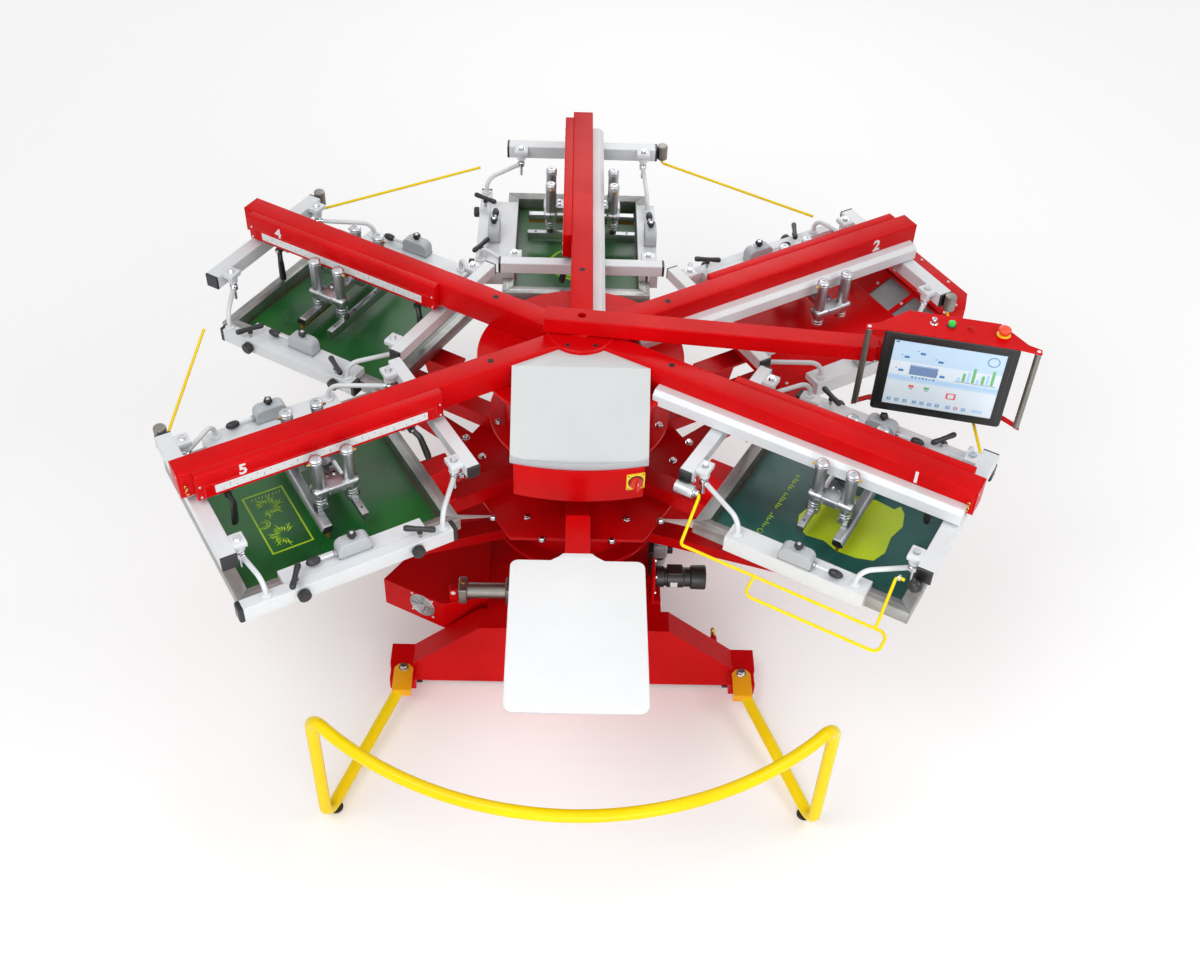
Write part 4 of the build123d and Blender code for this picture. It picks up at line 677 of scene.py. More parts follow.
def addRulers():
    far, toLeft = coverLook["far"], turned(-90, "X")
    cover = addBlock((coverLook["inner"], coverLook["outer"]), (beamLook["half"] - 0.001, far),
                     (beamLook["bottom"], beamLook["top"]), "redCoat", coverLook["round"])
    lip = addBlock(coverLook["lipX"], (far - 0.001, far + 0.0006), coverLook["lipZ"], "redCoat", 0.0005, 1)
    spots = [moved(x, far - 0.0002, z) @ toLeft for x in coverLook["screwX"] for z in coverLook["screwZ"]]
    screws = repeated([addScrew(0.004, "chrome")], spots)
    finishPiece("rulerCovers", onEachHead([cover, lip, *screws]), "frame", "red_coat", "ruler_covers")
    strip = addBlock((stripLook["inner"], stripLook["outer"]), (far, far + 0.001),
                     (stripLook["bottom"], stripLook["top"]), "whitePrint", 0.0004, 1)
    # two staggered rows of dots, every fifth one doubled
    spots = []
    for index in range(int((stripLook["outer"] - stripLook["inner"] - 0.02) / stripLook["dotStep"]) + 1):
        x = stripLook["inner"] + 0.01 + index * stripLook["dotStep"]
        z, step = (0.0075, 0.006) if index % 2 else (0.0205, -0.006)
        for high in (z,) if index % 5 else (z, z + step):
            spots.append(moved(x, far + 0.0009, high + stripLook["bottom"]) @ toLeft)
    dot = addTurned([(stripLook["dot"], 0), (stripLook["dot"], 0.0002)], 8, "blackPlastic")
    dots = repeated([dot], spots)
    finishPiece("rulerStrips", onEachHead([strip, *dots]), "frame", "white_print", "ruler_strips")


def addDigit(text, size):
    deselect()
    bpy.ops.object.text_add()
    letter = bpy.context.object
    letter.data.body = text
    letter.data.size = size
    letter.data.extrude = 0.0004
    letter.data.offset = size * 0.028
    letter.data.align_x = "CENTER"
    bpy.ops.object.convert(target="MESH")
    return paint(bpy.context.object, "whitePrint")


def addDigits():
    digits = []
    for number, look in digitLook.items():
        across = coverLook["far"] + 0.0003 if look["side"] > 0 else -beamLook["half"] - 0.0003
        facing = turned(180) if look["side"] > 0 else Matrix()
        stand = moved(look["along"], across, look["low"]) @ facing @ turned(90, "X")
        digits.append(placed(addDigit(str(number), look["size"]), onHead(number, stand)))
    finishPiece("headNumbers", digits, "frame", "white_print")


def addBeamFittings():
    # small brass air fittings on the sides of two beams, near their tips
    body = addTurned([(0.005, 0), (0.005, 0.006), (0.0035, 0.007), (0.0035, 0.013), (0.0045, 0.013),
                      (0.0045, 0.017)], 12, "brass")
    spots = [onHead(number, moved(beamLook["reach"] - 0.018, side * 0.036, z) @ turned(-90 * side, "X"))
             for number, side in ((1, -1), (5, 1)) for z in (1.182, 1.202)]
    finishPiece("beamFittings", repeated([body], spots), "frame", "chrome")


addBeams()
addRulers()
addDigits()
addBeamFittings()
print("beams, rulers and digits made")


# screen hangers, clamps and their hand knobs

hanger = {"boss": 0.017, "bossLow": 1.090, "bossTop": 1.135, "lateral": 0.236, "outer": 1.250, "inner": 0.573,
          "rod": 0.008, "bend": 0.042, "rodHigh": 1.070, "foot": 1.010, "stud": (1.020, 1.136), "nut": 1.0795}
clampLook = {"half": 0.052, "deep": 0.044, "low": 1.010, "high": 1.066, "inset": 0.0225, "screw": 0.02232}
leverLook = {"inset": 0.022, "along": 0.0523, "high": 1.0284, "stem": 0.056, "grip": 0.0505}
knob = {"tee": 0.0475, "star": 0.0145, "round": 0.0195, "roundDeep": 0.024,
        "inset": 0.022, "leverLong": 0.130, "knee": 0.038}
# where the tee knobs, round knobs and rail clamp levers stand on each head
knobPlace = {"tee": 0.194, "teeY": 0.365, "teeHigh": 1.044, "round": 0.185, "roundY": 0.385,
             "roundHigh": 0.9875, "lever": (1.208, 0.619), "leverY": 0.0173, "leverHigh": 1.118}


def edgeOf(number, side):
    # outer edge of the clamp box on one side of a head
    if side > 0:
        return 0.345
    return 0.278 if number == 3 else 0.361


def feetOf(number):
    # where the four hanger rods come down: place of the cross bar, side, and the foot's x and y
    look = heads[number]
    inner = max(look["holder"] - 0.276, look["channel"] + 0.025)
    across = 0.030 - edgeOf(number, -1)
    return [
        (hanger["outer"], 1, look["holder"] + 0.285, 0.365),
        (hanger["inner"], 1, inner, 0.365),
        (hanger["outer"], -1, look["holder"] + 0.185, across),
        (hanger["inner"], -1, look["holder"] - 0.195, across),
    ]


def onEachClamp(parts, inset, along, level):
    # on both clamp boxes of each head
    return repeated(parts, [onHead(number, moved(look["holder"] + along,
                                                 side * (edgeOf(number, side) - inset), level))
                            for number, look in heads.items() for side in (1, -1)])


def addHangers():
    low, radius, high = hanger["bossLow"], hanger["boss"], hanger["bossTop"] - hanger["bossLow"]
    tube = addTurned([(radius - 0.003, 0), (radius, 0.003), (radius, high)], 40, "whiteCoat",
                     moved(0, 0, low))
    ear = addBlock((-0.021, 0.021), (-0.026, 0.026), (low + high - 0.020, low + high - 0.001),
                   "whiteCoat", 0.004)
    studLow, studTop = hanger["stud"]
    stud = addRod((0, 0, studLow), (0, 0, studTop), 0.006, 20, "chrome")
    hexHead = placed(addBolt(0.0108, 0.008, "chrome"), moved(0, 0, hanger["bossTop"]))
    nut = addTurned([(0.0096, 0), (0.011, 0.0012), (0.011, 0.0078), (0.0096, 0.009)], 6, "chrome",
                    moved(0, 0, hanger["nut"]))
    eye = addTurned([(0.012, -0.010), (0.0138, -0.008), (0.0138, 0.008), (0.012, 0.010)], 32, "chrome",
                    moved(0, 0, hanger["rodHigh"]))
    foot = addTurned([(0.0145, 0.0), (0.016, 0.0015), (0.016, 0.005), (0.0105, 0.0075)], 32, "whiteCoat")
    feet = [(number, *foot) for number in heads for foot in feetOf(number)]
    spots = [onHead(number, moved(place, side * hanger["lateral"], 0)) for number, place, side, x, y in feet]
    bosses = repeated([tube, ear], spots)
    studs = repeated([stud, hexHead, nut, eye], spots)
    rods = repeated([foot],
                    [onHead(number, moved(x, y, hanger["foot"])) for number, place, side, x, y in feet])
    for number, place, side, x, y in feet:
        start = Vector((place, side * hanger["lateral"], hanger["rodHigh"]))
        span = Vector((x, y, hanger["rodHigh"])) - start
        way = span.normalized()
        rod = addPipe([start + way * 0.010, start + span, (x, y, hanger["foot"])], hanger["rod"],
                      min(hanger["bend"], span.length * 0.6), "whiteCoat")
        ring = addTurned([(0.0098, 0.0), (0.0098, 0.006), (0.0082, 0.0075)], 24, "chrome",
                         aimed(start + way * 0.012, way))
        rods += allPlaced((rod, ring), onHead(number))
    finishPiece("hangerBosses", bosses, "frame", "white_coat", "hanger_bosses")
    finishPiece("hangerRods", rods, "frame", "white_coat", "hanger_rods")
    finishPiece("hangerStuds", studs, "frame", "chrome", "hanger_studs")


def addClampCovers():
    # domed light grey covers over the air cylinders of the screen clamps
    wide, deep = clampLook["half"], clampLook["deep"]
    high = clampLook["high"] - clampLook["low"]
    dome = [(1, 0), (1, 0.58), (0.94, 0.78), (0.82, 0.92), (0.62, 1)]
    corners = [(wide * x, high * z) for x, z in dome] + [(-wide * x, high * z) for x, z in dome[::-1]]
    shell = addOutline(corners[-1:] + corners[:-1], "y", -deep / 2, deep / 2, "greyPlastic", 0.0075, 5, 12)
    seam = addBlock((-wide - 0.0004, wide + 0.0004), (-deep / 2 - 0.0004, deep / 2 + 0.0004),
                    (0.0075, 0.0088), "darkSteel")
    plate = addBlock((-wide * 0.55, wide * 0.55), (-deep * 0.32, deep * 0.32), (high - 0.002, high + 0.0006),
                     "greyPlastic", 0.0008, 2)
    parts = onEachClamp([shell, seam, plate], clampLook["inset"], 0, clampLook["low"])
    # one screw on each cover, on its inner side
    spots = []
    for number, look in heads.items():
        for side in (1, -1):
            across = side * (edgeOf(number, side) - clampLook["inset"]) + deep * 0.22
            x = look["holder"] - side * clampLook["screw"]
            spots.append(onHead(number, moved(x, across, clampLook["high"] + 0.0004)))
    parts += repeated([addScrew(0.0032, "chrome")], spots)
    finishPiece("clampCovers", parts, "frame", "grey_plastic", "clamp_covers")


def addCoverLevers():
    # white valve levers with black grips, pointing outward along the clamp
    stem = addRod((0, 0, 0), (leverLook["stem"], 0, 0), 0.005, 20, "whiteCoat")
    grip = addTurned([(0.0065, 0.0), (0.0110, 0.005), (0.0128, 0.013), (0.0130, 0.021), (0.0118, 0.031),
                      (0.0088, 0.039), (0.0030, 0.0435)], 28, "blackPlastic",
                     moved(leverLook["grip"], 0, 0) @ turned(90, "Y"))
    hub = addTurned([(0.0085, 0.0), (0.010, 0.0015), (0.010, 0.0075), (0.0075, 0.009)], 28, "steel",
                    turned(90, "Y"))
    parts = onEachClamp([stem, grip, hub], leverLook["inset"], leverLook["along"], leverLook["high"])
    finishPiece("coverLevers", parts, "frame", "white_coat", "cover_levers")


def makeStarKnob():
    # five-lobed knob on a collar
    corners = ringCorners(60, lambda step: knob["star"] * (0.90 + 0.10 * math.cos(5 * step * math.tau / 60)))
    return [addOutline(corners, "z", 0.008, 0.0215, "blackPlastic", 0.0028, 3, 40),
            addTurned([(0.0075, 0.0), (0.0085, 0.001), (0.0065, 0.009)], 24, "blackPlastic"),
            addTurned([(0.0060, 0.0213), (0.0056, 0.0220)], 24, "chrome")]


def makeTeeKnob():
    # a bar handle whose ends are thicker than its middle
    long = knob["tee"]
    profile = [(0.0060, 0.0), (0.0090, 0.004), (0.0098, 0.012), (0.0080, long * 0.8), (0.0084, long),
               (0.0080, long * 1.2), (0.0098, 2 * long - 0.012), (0.0090, 2 * long - 0.004),
               (0.0060, 2 * long)]
    return [addTurned(profile, 24, "blackPlastic", turned(90, "Y") @ moved(0, 0, -long)),
            addTurned([(0.0088, -0.016), (0.0088, -0.012), (0.0068, -0.006)], 24, "blackPlastic"),
            addRod((0, 0, -0.036), (0, 0, -0.010), 0.0050, 20, "steel")]


def makeRoundKnob():
    # a knurled round knob pointing outward along y
    deep, outward = knob["roundDeep"], turned(-90, "X")
    corners = ringCorners(72, lambda step: knob["round"] * (1.0 if step % 3 else 0.955))
    return [addOutline(corners, "y", 0.004, deep - 0.002, "blackPlastic", 0.0015, 2, 60),
            addTurned([(0.0155, deep - 0.0025), (0.0150, deep - 0.0002), (0.0110, deep)], 36, "blackPlastic",
                      outward),
            addTurned([(0.0100, 0.0), (0.0100, 0.0045)], 24, "chrome", outward)]


def makeClampLever(way):
    # a cranked handle that widens below its knee, hanging from its hub on the rail clamp
    outward, long = turned(-90, "X"), knob["leverLong"]
    hub = addTurned([(0.0105, 0.0), (0.012, 0.0018), (0.012, 0.023), (0.0098, 0.026)], 32,
                    "blackPlastic", outward)
    pin = addTurned([(0.0055, 0.0255), (0.0050, 0.0272)], 6, "chrome", outward)
    shape = [(0.0092, 0), (0.0090, 0.10), (0.0088, 0.20), (0.0092, 0.28), (0.0100, 0.34), (0.0106, 0.42),
             (0.0110, 0.55), (0.0116, 0.70), (0.0120, 0.84), (0.0114, 0.93), (0.0092, 0.985), (0.0050, 1)]
    grip = addTurned([(radius, long * share) for radius, share in shape], 28, "blackPlastic")
    for vertex in grip.data.vertices:
        past = max(0.0, vertex.co.z - knob["knee"])
        vertex.co.y -= past * 0.48
        vertex.co.z -= past * 0.11
    return [hub, pin, placed(grip, aimed((0, 0.015, 0), Vector(way)))]


def addKnobs():
    tees, rounds, outers, inners = [], [], [], []
    outerLever, innerLever = knobPlace["lever"]
    for number, look in heads.items():
        middle = look["holder"]
        innerTee = max(middle - knobPlace["tee"], feetOf(number)[1][2] + 0.045)
        for x, across in ((middle + knobPlace["tee"], 58), (innerTee, -32)):
            tees.append(onHead(number, moved(x, knobPlace["teeY"], knobPlace["teeHigh"]) @ turned(across)))
        for x in (middle + knobPlace["round"], max(middle - 0.173, look["channel"] + 0.030)):
            rounds.append(onHead(number, moved(x, knobPlace["roundY"], knobPlace["roundHigh"])))
        outer = outers if number in printHeads else inners
        for x, spots in ((outerLever, outer), (innerLever, inners)):
            spots.append(onHead(number, moved(x, knobPlace["leverY"], knobPlace["leverHigh"])))
    parts = onEachClamp(makeStarKnob(), knob["inset"], 0, clampLook["high"])
    parts += repeated(makeTeeKnob(), tees) + repeated(makeRoundKnob(), rounds)
    parts += repeated(makeClampLever((-0.25, 0.30, -0.90)), outers)
    parts += repeated(makeClampLever((-0.50, 0.50, -0.70)), inners)
    finishPiece("lockingKnobs", parts, "frame", "black_plastic", "locking_knobs")


addHangers()
addClampCovers()
addCoverLevers()
addKnobs()
print("hangers, clamps and knobs made")


# screen frames and printed meshes

screen = {"bar": 0.040, "low": 0.939, "high": 0.985, "shift": 0.008, "margin": 0.008, "mesh": 0.9385,
          "residue": 0.046, "film": 0.0004}


def screenBox(number):
    look = heads[number]
    middle, half = look["holder"] + screen["shift"], look["length"] / 2
    return middle - half, middle + half, -look["right"], look["left"]


def addFrameBar(start, end, inward):
    # one mitred bar of the frame, with a shallow groove along its top
    bar, low, high = screen["bar"], screen["low"], screen["high"]
    way = Vector(end) - Vector(start)
    long, way = way.length, way.normalized()
    piece = addOutline([(0.0002, 0), (long - 0.0002, 0), (long - bar, bar), (bar, bar)], "z", low, high,
                       "frameMetal", 0.0022, 2, 40)
    line = addOutline([(bar * 0.5, bar * 0.42), (long - bar * 0.5, bar * 0.42),
                       (long - bar * 0.58, bar * 0.50),
                       (bar * 0.58, bar * 0.50)], "z", high - 0.0002, high + 0.0003, "steel")
    turn = Matrix(((way.x, inward[0], 0, start[0]), (way.y, inward[1], 0, start[1]), (0, 0, 1, 0),
                   (0, 0, 0, 1)))
    return [placed(piece, turn), placed(line, turn)]


def addScreens():
    parts = []
    for number in printHeads:
        inner, outer, right, left = screenBox(number)
        corners = [(inner, right), (outer, right), (outer, left), (inner, left), (inner, right)]
        for start, end, inward in zip(corners, corners[1:], ((0, 1), (-1, 0), (0, -1), (1, 0))):
            parts += allPlaced(addFrameBar(start, end, inward), onHead(number))
    finishPiece("screenFrames", parts, "frame", "aluminium", "screen_frames")


def addPatch(corners, material="stencil"):
    low = screen["mesh"] + screen["film"]
    return addOutline(corners, "z", low, low + screen["film"], material)


def addField(x0, x1, y0, y1):
    return addPatch([(x0, y0), (x1, y0), (x1, y1), (x0, y1)])


def addRingPatch(middle, radius, width, start, sweep, squeeze=1.0):
    # an arc of stencil that thins out at both ends
    count = max(8, int(abs(sweep) / 8))
    outer, inner = [], []
    for step in range(count + 1):
        angle = math.radians(start + sweep * step / count)
        thin = radius - width * (0.35 + 0.65 * math.sin(math.pi * step / count))
        for line, reach in ((outer, radius), (inner, thin)):
            line.append((middle[0] + reach * math.cos(angle), middle[1] + squeeze * reach * math.sin(angle)))
    return addPatch(outer + inner[::-1])


def addStroke(start, end, width):
    # a thin leaf-shaped stroke
    start, end = Vector(start), Vector(end)
    side = Vector((start.y - end.y, end.x - start.x)).normalized() * width
    belly = start.lerp(end, 0.45)
    return addPatch([start, belly + side, end, belly - side])


def makeLeafPrint(middle):
    # an outlined panel with two fans of leaf-like strokes and a scroll between them
    x, y = middle
    half, wide, line = 0.066, 0.132, 0.0055
    parts = [addField(x - half, x + half, y - wide, y - wide + line),
             addField(x - half, x + half, y + wide - line, y + wide),
             addField(x - half, x - half + line, y - wide + line, y + wide - line),
             addField(x + half - line, x + half, y - wide + line, y + wide - line)]
    for root, start, count in (((x + 0.006, y - 0.064), 60, 17), ((x + 0.004, y + 0.070), 215, 15)):
        root = Vector(root)
        for step in range(count):
            turn = math.radians(start + step * 17)
            near, far = 0.012 + 0.005 * (step % 2), 0.045 + 0.011 * math.sin(step * 1.9)
            way = Vector((math.cos(turn), math.sin(turn)))
            barb = root + way * (near + far) * 0.5
            parts.append(addStroke(root + way * near, root + way * far, 0.0026))
            parts.append(addStroke(barb, barb + Vector((math.cos(turn + 0.9), math.sin(turn + 0.9))) * 0.013,
                                   0.0016))
    for radius, start, sweep in ((0.020, 0, 250), (0.012, 40, 270)):
        parts.append(addRingPatch((x + 0.044, y + 0.002), radius, 0.0036, start, sweep))
    for step in range(9):
        a = x - 0.052 + 0.011 * step
        parts.append(addStroke((a, y - 0.118), (a + 0.006, y - 0.104), 0.0018))
    return parts


def makeBlotPrint(middle):
    # a large irregular bright field, and a row of small marks beside it
    x, y = middle
    outline = [(-0.150, -0.060), (-0.135, -0.105), (-0.095, -0.128), (-0.040, -0.120), (0.010, -0.140),
               (0.070, -0.136), (0.122, -0.118), (0.140, -0.070), (0.132, 0.000), (0.146, 0.062),
               (0.130, 0.118),
               (0.108, 0.142), (0.096, 0.120), (0.030, 0.128), (-0.030, 0.112), (-0.080, 0.120),
               (-0.118, 0.086), (-0.128, 0.030)]
    parts = [addPatch([(x + a, y + b) for a, b in outline], "stencilPale")]
    a = x - 0.230
    for index in range(26):
        b = y - 0.165 + 0.0105 * index
        if index in (7, 8, 17):
            continue
        parts.append(addField(a, a + 0.008 + 0.004 * (index * 7 % 3), b, b + 0.0042))
        if index % 3 == 0:
            parts.append(addField(a, a + 0.0025, b, b + 0.0085))
    return parts + [addRingPatch((x - 0.225, y - 0.185), 0.010, 0.0035, 0, 350)]


def makeArcPrint(middle):
    # sweeping strokes round one middle
    x, y = middle
    parts = [addRingPatch(middle, 0.105 * (1 - 0.17 * index), 0.013, 25 + 50 * index, 215 - 18 * index, 1.15)
             for index in range(3)]
    return parts + [addPatch([(x - 0.02, y - 0.016), (x + 0.024, y - 0.012), (x + 0.016, y + 0.022),
                              (x - 0.016, y + 0.018)])]


# maker, its distance from the outer end of the screen, and its place across
prints = {5: (makeLeafPrint, 0.228, 0.030), 1: (makeBlotPrint, 0.300, -0.03), 3: (makeArcPrint, 0.395, 0.0)}


def addMeshes():
    parts = []
    level, edge, rim, band = (screen[key] for key in ("mesh", "margin", "bar", "residue"))
    for number in printHeads:
        inner, outer, right, left = screenBox(number)
        marks = [addBlock((inner + edge, outer - edge), (right + edge, left - edge),
                          (level - 0.0005, level + 0.0001), "meshTeal" if number == 1 else "meshGreen")]
        for x0, x1, y0, y1 in ((inner + rim, outer - rim, right + rim, right + band),
                               (inner + rim, outer - rim, left - band, left - rim),
                               (inner + rim, inner + band, right + band, left - band),
                               (outer - band, outer - rim, right + band, left - band)):
            marks.append(addBlock((x0, x1), (y0, y1), (level + 0.0001, level + 0.0004), "meshRim"))
        if number in prints:
            make, along, across = prints[number]
            marks += make((outer - along, across))
        parts += allPlaced(marks, onHead(number))
    finishPiece("screenMeshes", parts, "frame", "mesh_fabric", "screen_meshes")


addScreens()
addMeshes()
print("screens made")


# print carriages, squeegees and flood bars

slide = {"half": 0.080, "side": 0.034, "low": 1.100, "lip": 1.1548, "inner": 0.0173, "floor": 1.1397}
yoke = {"half": 0.028, "long": 0.142, "low": 1.072, "high": 1.100}
cylinder = {"x": 0.049, "y": 0.115, "radius": 0.020, "low": 1.034, "top": 1.216}
blade = {"squeegee": 0.068, "flood": -0.056, "long": 0.200}


def addTube(shape, radius, level, sides, material):
    # a round piece from (inset, height) pairs against a radius and a level
    return addTurned([(radius - inset, level + height) for inset, height in shape], sides, material)


def makeCylinder():
    # air cylinder: smooth barrel between two grooved caps, with a domed top and a brass port
    edge, low, top = cylinder["radius"], cylinder["low"], cylinder["top"]
    barrel = addTurned([(edge - 0.0014, low + 0.020), (edge - 0.0014, top - 0.026)], 48, "steel")
    foot = addTube([(0.001, 0), (0, 0.001), (0, 0.009), (0.0015, 0.010), (0.0015, 0.012), (0, 0.013),
                    (0, 0.020), (0.001, 0.021)], edge, low, 48, "aluminium")
    cap = addTube([(0.001, -0.027), (0, -0.026), (0, -0.014), (0.0013, -0.013), (0.0013, -0.011), (0, -0.010),
                   (0, -0.006), (0.0035, -0.0018), (0.0085, -0.0004), (0.0138, -0.0004), (0.0145, -0.003)],
                  edge, top, 48, "aluminium")
    port = addTurned([(0.0052, 0.0), (0.0052, 0.004), (0.0040, 0.005), (0.0040, 0.010)], 6, "brass",
                     moved(edge - 0.001, 0, top - 0.020) @ turned(90, "Y"))
    return [barrel, foot, cap, port]


def makeCarriage():
    wide, lip, inner, floor = (slide[key] for key in ("side", "lip", "inner", "floor"))
    low, high = yoke["low"], yoke["high"]
    parts = [
        addOutline([(-wide, slide["low"]), (wide, slide["low"]), (wide, lip), (inner, lip), (inner, floor),
                    (-inner, floor), (-inner, lip), (-wide, lip)], "x", -slide["half"], slide["half"],
                   "aluminium", 0.0022, 2),
        addBlock((-yoke["half"], yoke["half"]), (-yoke["long"], yoke["long"]), (low, high),
                 "aluminium", 0.0045)]
    tubes, bolts, screws = [], [], []
    for side in (-1, 1):
        y, wingY = side * cylinder["y"], side * 0.058
        parts += [
            addBlock((-0.073, 0.073), (y - 0.024, y + 0.024), (low + 0.001, high - 0.001),
                     "aluminium", 0.009, 4),
            addBlock((-0.0735, 0.0735), (y - 0.0008, y + 0.0008), (low + 0.003, high - 0.0004), "darkSteel")]
        tubes += [moved(-cylinder["x"], y, 0) @ turned(180), moved(cylinder["x"], y, 0)]
        bolts += [moved(x, side * 0.084, high) for x in (-0.012, 0.012)]
        bolts += [moved(x, side * 0.0335, 1.130) @ turned(-90 * side, "X")
                  for x in (-0.058, -0.020, 0.020, 0.058)]
        screws += [moved(way * 0.07194, y, 1.086) @ turned(90 * way, "Y") for way in (-1, 1)]
        # a black wing knob that locks the clasp
        wing = addOutline([(-0.020, 0.002), (-0.017, 0.012), (-0.008, 0.008), (0.0, 0.006), (0.008, 0.008),
                           (0.017, 0.012), (0.020, 0.002), (0.007, -0.001), (-0.007, -0.001)], "y", -0.0035,
                          0.0035, "blackPlastic", 0.0016, 2)
        parts += [placed(wing, moved(0, wingY, high + 0.009)),
                  addTurned([(0.0075, 0), (0.0075, 0.005), (0.0055, 0.010)], 20, "blackPlastic",
                            moved(0, wingY, high - 0.0005))]
    return (parts + repeated(makeCylinder(), tubes) + repeated([addBolt(0.006, 0.005, "chrome")], bolts)
            + repeated([addScrew(0.0045, "darkSteel")], screws))


def makeGrips(offset):
    # piston rods and the grips that hold the blade holder, with a locking wheel each
    way = 1 if offset > 0 else -1
    x = way * cylinder["x"]
    parts = []
    for y in (-cylinder["y"], cylinder["y"]):
        parts += [
            addRod((x, y, 1.012), (x, y, 1.085), 0.006, 24, "chrome"),
            addBlock((x - 0.017, x + 0.017), (y - 0.015, y + 0.015), (1.0105, 1.033), "aluminium", 0.0028),
            addTurned([(0.0078, 0.0), (0.0092, 0.0012), (0.0092, 0.0062), (0.0074, 0.0080)], 24,
                      "blackPlastic", moved(x + way * 0.0165, y, 1.0225) @ turned(90 * way, "Y"))]
    return parts


def makeSqueegee():
    middle, long = blade["squeegee"], blade["long"]
    shape = [(-0.018, 1.010), (0.0072, 1.010), (0.018, 0.9918), (0.0081, 0.986), (-0.0081, 0.986),
             (-0.018, 0.9918)]
    holder = addOutline([(middle + x, z) for x, z in shape], "y", -long + 0.002, long - 0.002, "aluminium",
                        0.0016, 2, 20)
    rubber = addOutline([(middle - 0.0045, 0.992), (middle + 0.0045, 0.992), (middle + 0.0045, 0.967),
                         (middle - 0.0045, 0.966)], "y", -long, long, "rubber", 0.0008, 2)
    ends = [addOutline([(middle + x * 0.985, z) for x, z in shape], "y", low, low + 0.0022, "blackPlastic")
            for low in (-long, long - 0.0022)]
    groove = addBlock((middle - 0.0168, middle + 0.004), (-long + 0.01, long - 0.01), (1.0098, 1.0103),
                      "steel")
    return [holder, rubber, *ends, groove, *makeGrips(middle)]


def makeFloodBar():
    middle, long = blade["flood"], blade["long"]
    shape = [(-0.011, 1.010), (0.011, 1.010), (0.011, 0.990), (0.003, 0.980), (0.003, 0.973), (-0.003, 0.967),
             (-0.003, 0.980), (-0.011, 0.990)]
    bar = addOutline([(middle + x, z) for x, z in shape], "y", -long, long, "steel", 0.0010, 2, 25)
    spots = [moved(middle, y, 1.0099) for y in (-0.17, -0.06, 0.06, 0.17)]
    return [bar, *repeated([addScrew(0.004, "darkSteel")], spots), *makeGrips(middle)]


def addCarriages():
    carriage, squeegee, flood = makeCarriage(), makeSqueegee(), makeFloodBar()
    for number, look in heads.items():
        kinds = [("printCarriage", carriage, "carriage", "aluminium")]
        if number in printHeads:
            kinds += [("squeegeeHolder", squeegee, "squeegee", "aluminium"),
                      ("floodBlade", flood, "flood_bar", "steel")]
        for name, kit, node, slot in kinds:
            parts = [copied(part, onHead(number, moved(look["carriage"], 0, 0))) for part in kit]
            finishPiece(f"{name}{number}", parts, f"{node}_{number}", slot, f"{node}_{number}")
    discard(*carriage, *squeegee, *flood)


addCarriages()
print("carriages made")


# flash dryer: folded housing with two wire windows in its slope

flash = {"inner": 0.610, "outer": 1.455, "half": 0.300, "cut": 0.062, "low": 0.946, "deck": 0.985,
         "step": 1.185, "crest": 1.295, "shoulder": 1.034, "top": 1.042, "wall": 0.004,
         "rows": ((-0.266, -0.150), (-0.132, -0.016))}
# places of the screws on the deck, the top and the slope
flashScrew = {
    "deck": [(x, y) for x in (0.640, 0.780, 0.920, 1.060, 1.165) for y in (-0.284, 0.284)]
            + [(0.626, y) for y in (-0.190, 0.0, 0.190)],
    "top": [(1.310, -0.284), (1.310, 0.284), (1.375, -0.270), (1.375, 0.270), (1.440, -0.15), (1.440, 0.15),
            (1.440, 0.0), (1.310, -0.141), (1.310, -0.005)],
    "slope": [(1.240, y) for y in (-0.141, -0.005, 0.130, 0.278)], "radius": 0.0055, "lean": -24}
grille = {"sink": 0.0032, "wire": 0.0009, "pitch": 0.0058, "across": 19}


def flashOutline(inset):
    inner, outer = flash["inner"] + inset, flash["outer"] - inset
    half, cut = flash["half"] - inset, flash["cut"]
    return [(inner, -half), (outer - cut, -half), (outer, cut - half), (outer, half - cut),
            (outer - cut, half), (inner, half)]


def flashSlope(x):
    share = (x - flash["step"]) / (flash["crest"] - flash["step"])
    return flash["deck"] + share * (flash["shoulder"] - flash["deck"])


def makeFlashForm(inset, low, top, drop):
    # the housing's outline raised to its top, less the space above its deck and slope
    inner, roof = flash["inner"] - 0.01, flash["top"] + 0.01
    over = [(inner, flash["deck"] - drop), (flash["step"], flash["deck"] - drop),
            (flash["crest"], flash["shoulder"] - drop), (flash["crest"], roof), (inner, roof)]
    return carve(addOutline(flashOutline(inset), "z", low, top), addOutline(over, "y", -0.31, 0.31))


def addFlashHousing():
    low, top, wall = flash["low"], flash["top"], flash["wall"]
    body = carve(makeFlashForm(0, low, top, 0), makeFlashForm(wall, low - 0.01, top - wall, wall))
    for row in flash["rows"]:
        body = carve(body, addBlock((flash["step"] + 0.007, flash["crest"] - 0.006), row, (0.978, 1.060)))
    plate = addOutline(flashOutline(wall + 0.001), "z", low + 0.0005, low + 0.006, "darkSteel")
    parts = [dressed(body, "redCoat", 0.0018, 2, 15), plate]
    finishPiece("flashHousing", allPlaced(parts, onHead(2)), "frame", "red_coat", "flash_housing")


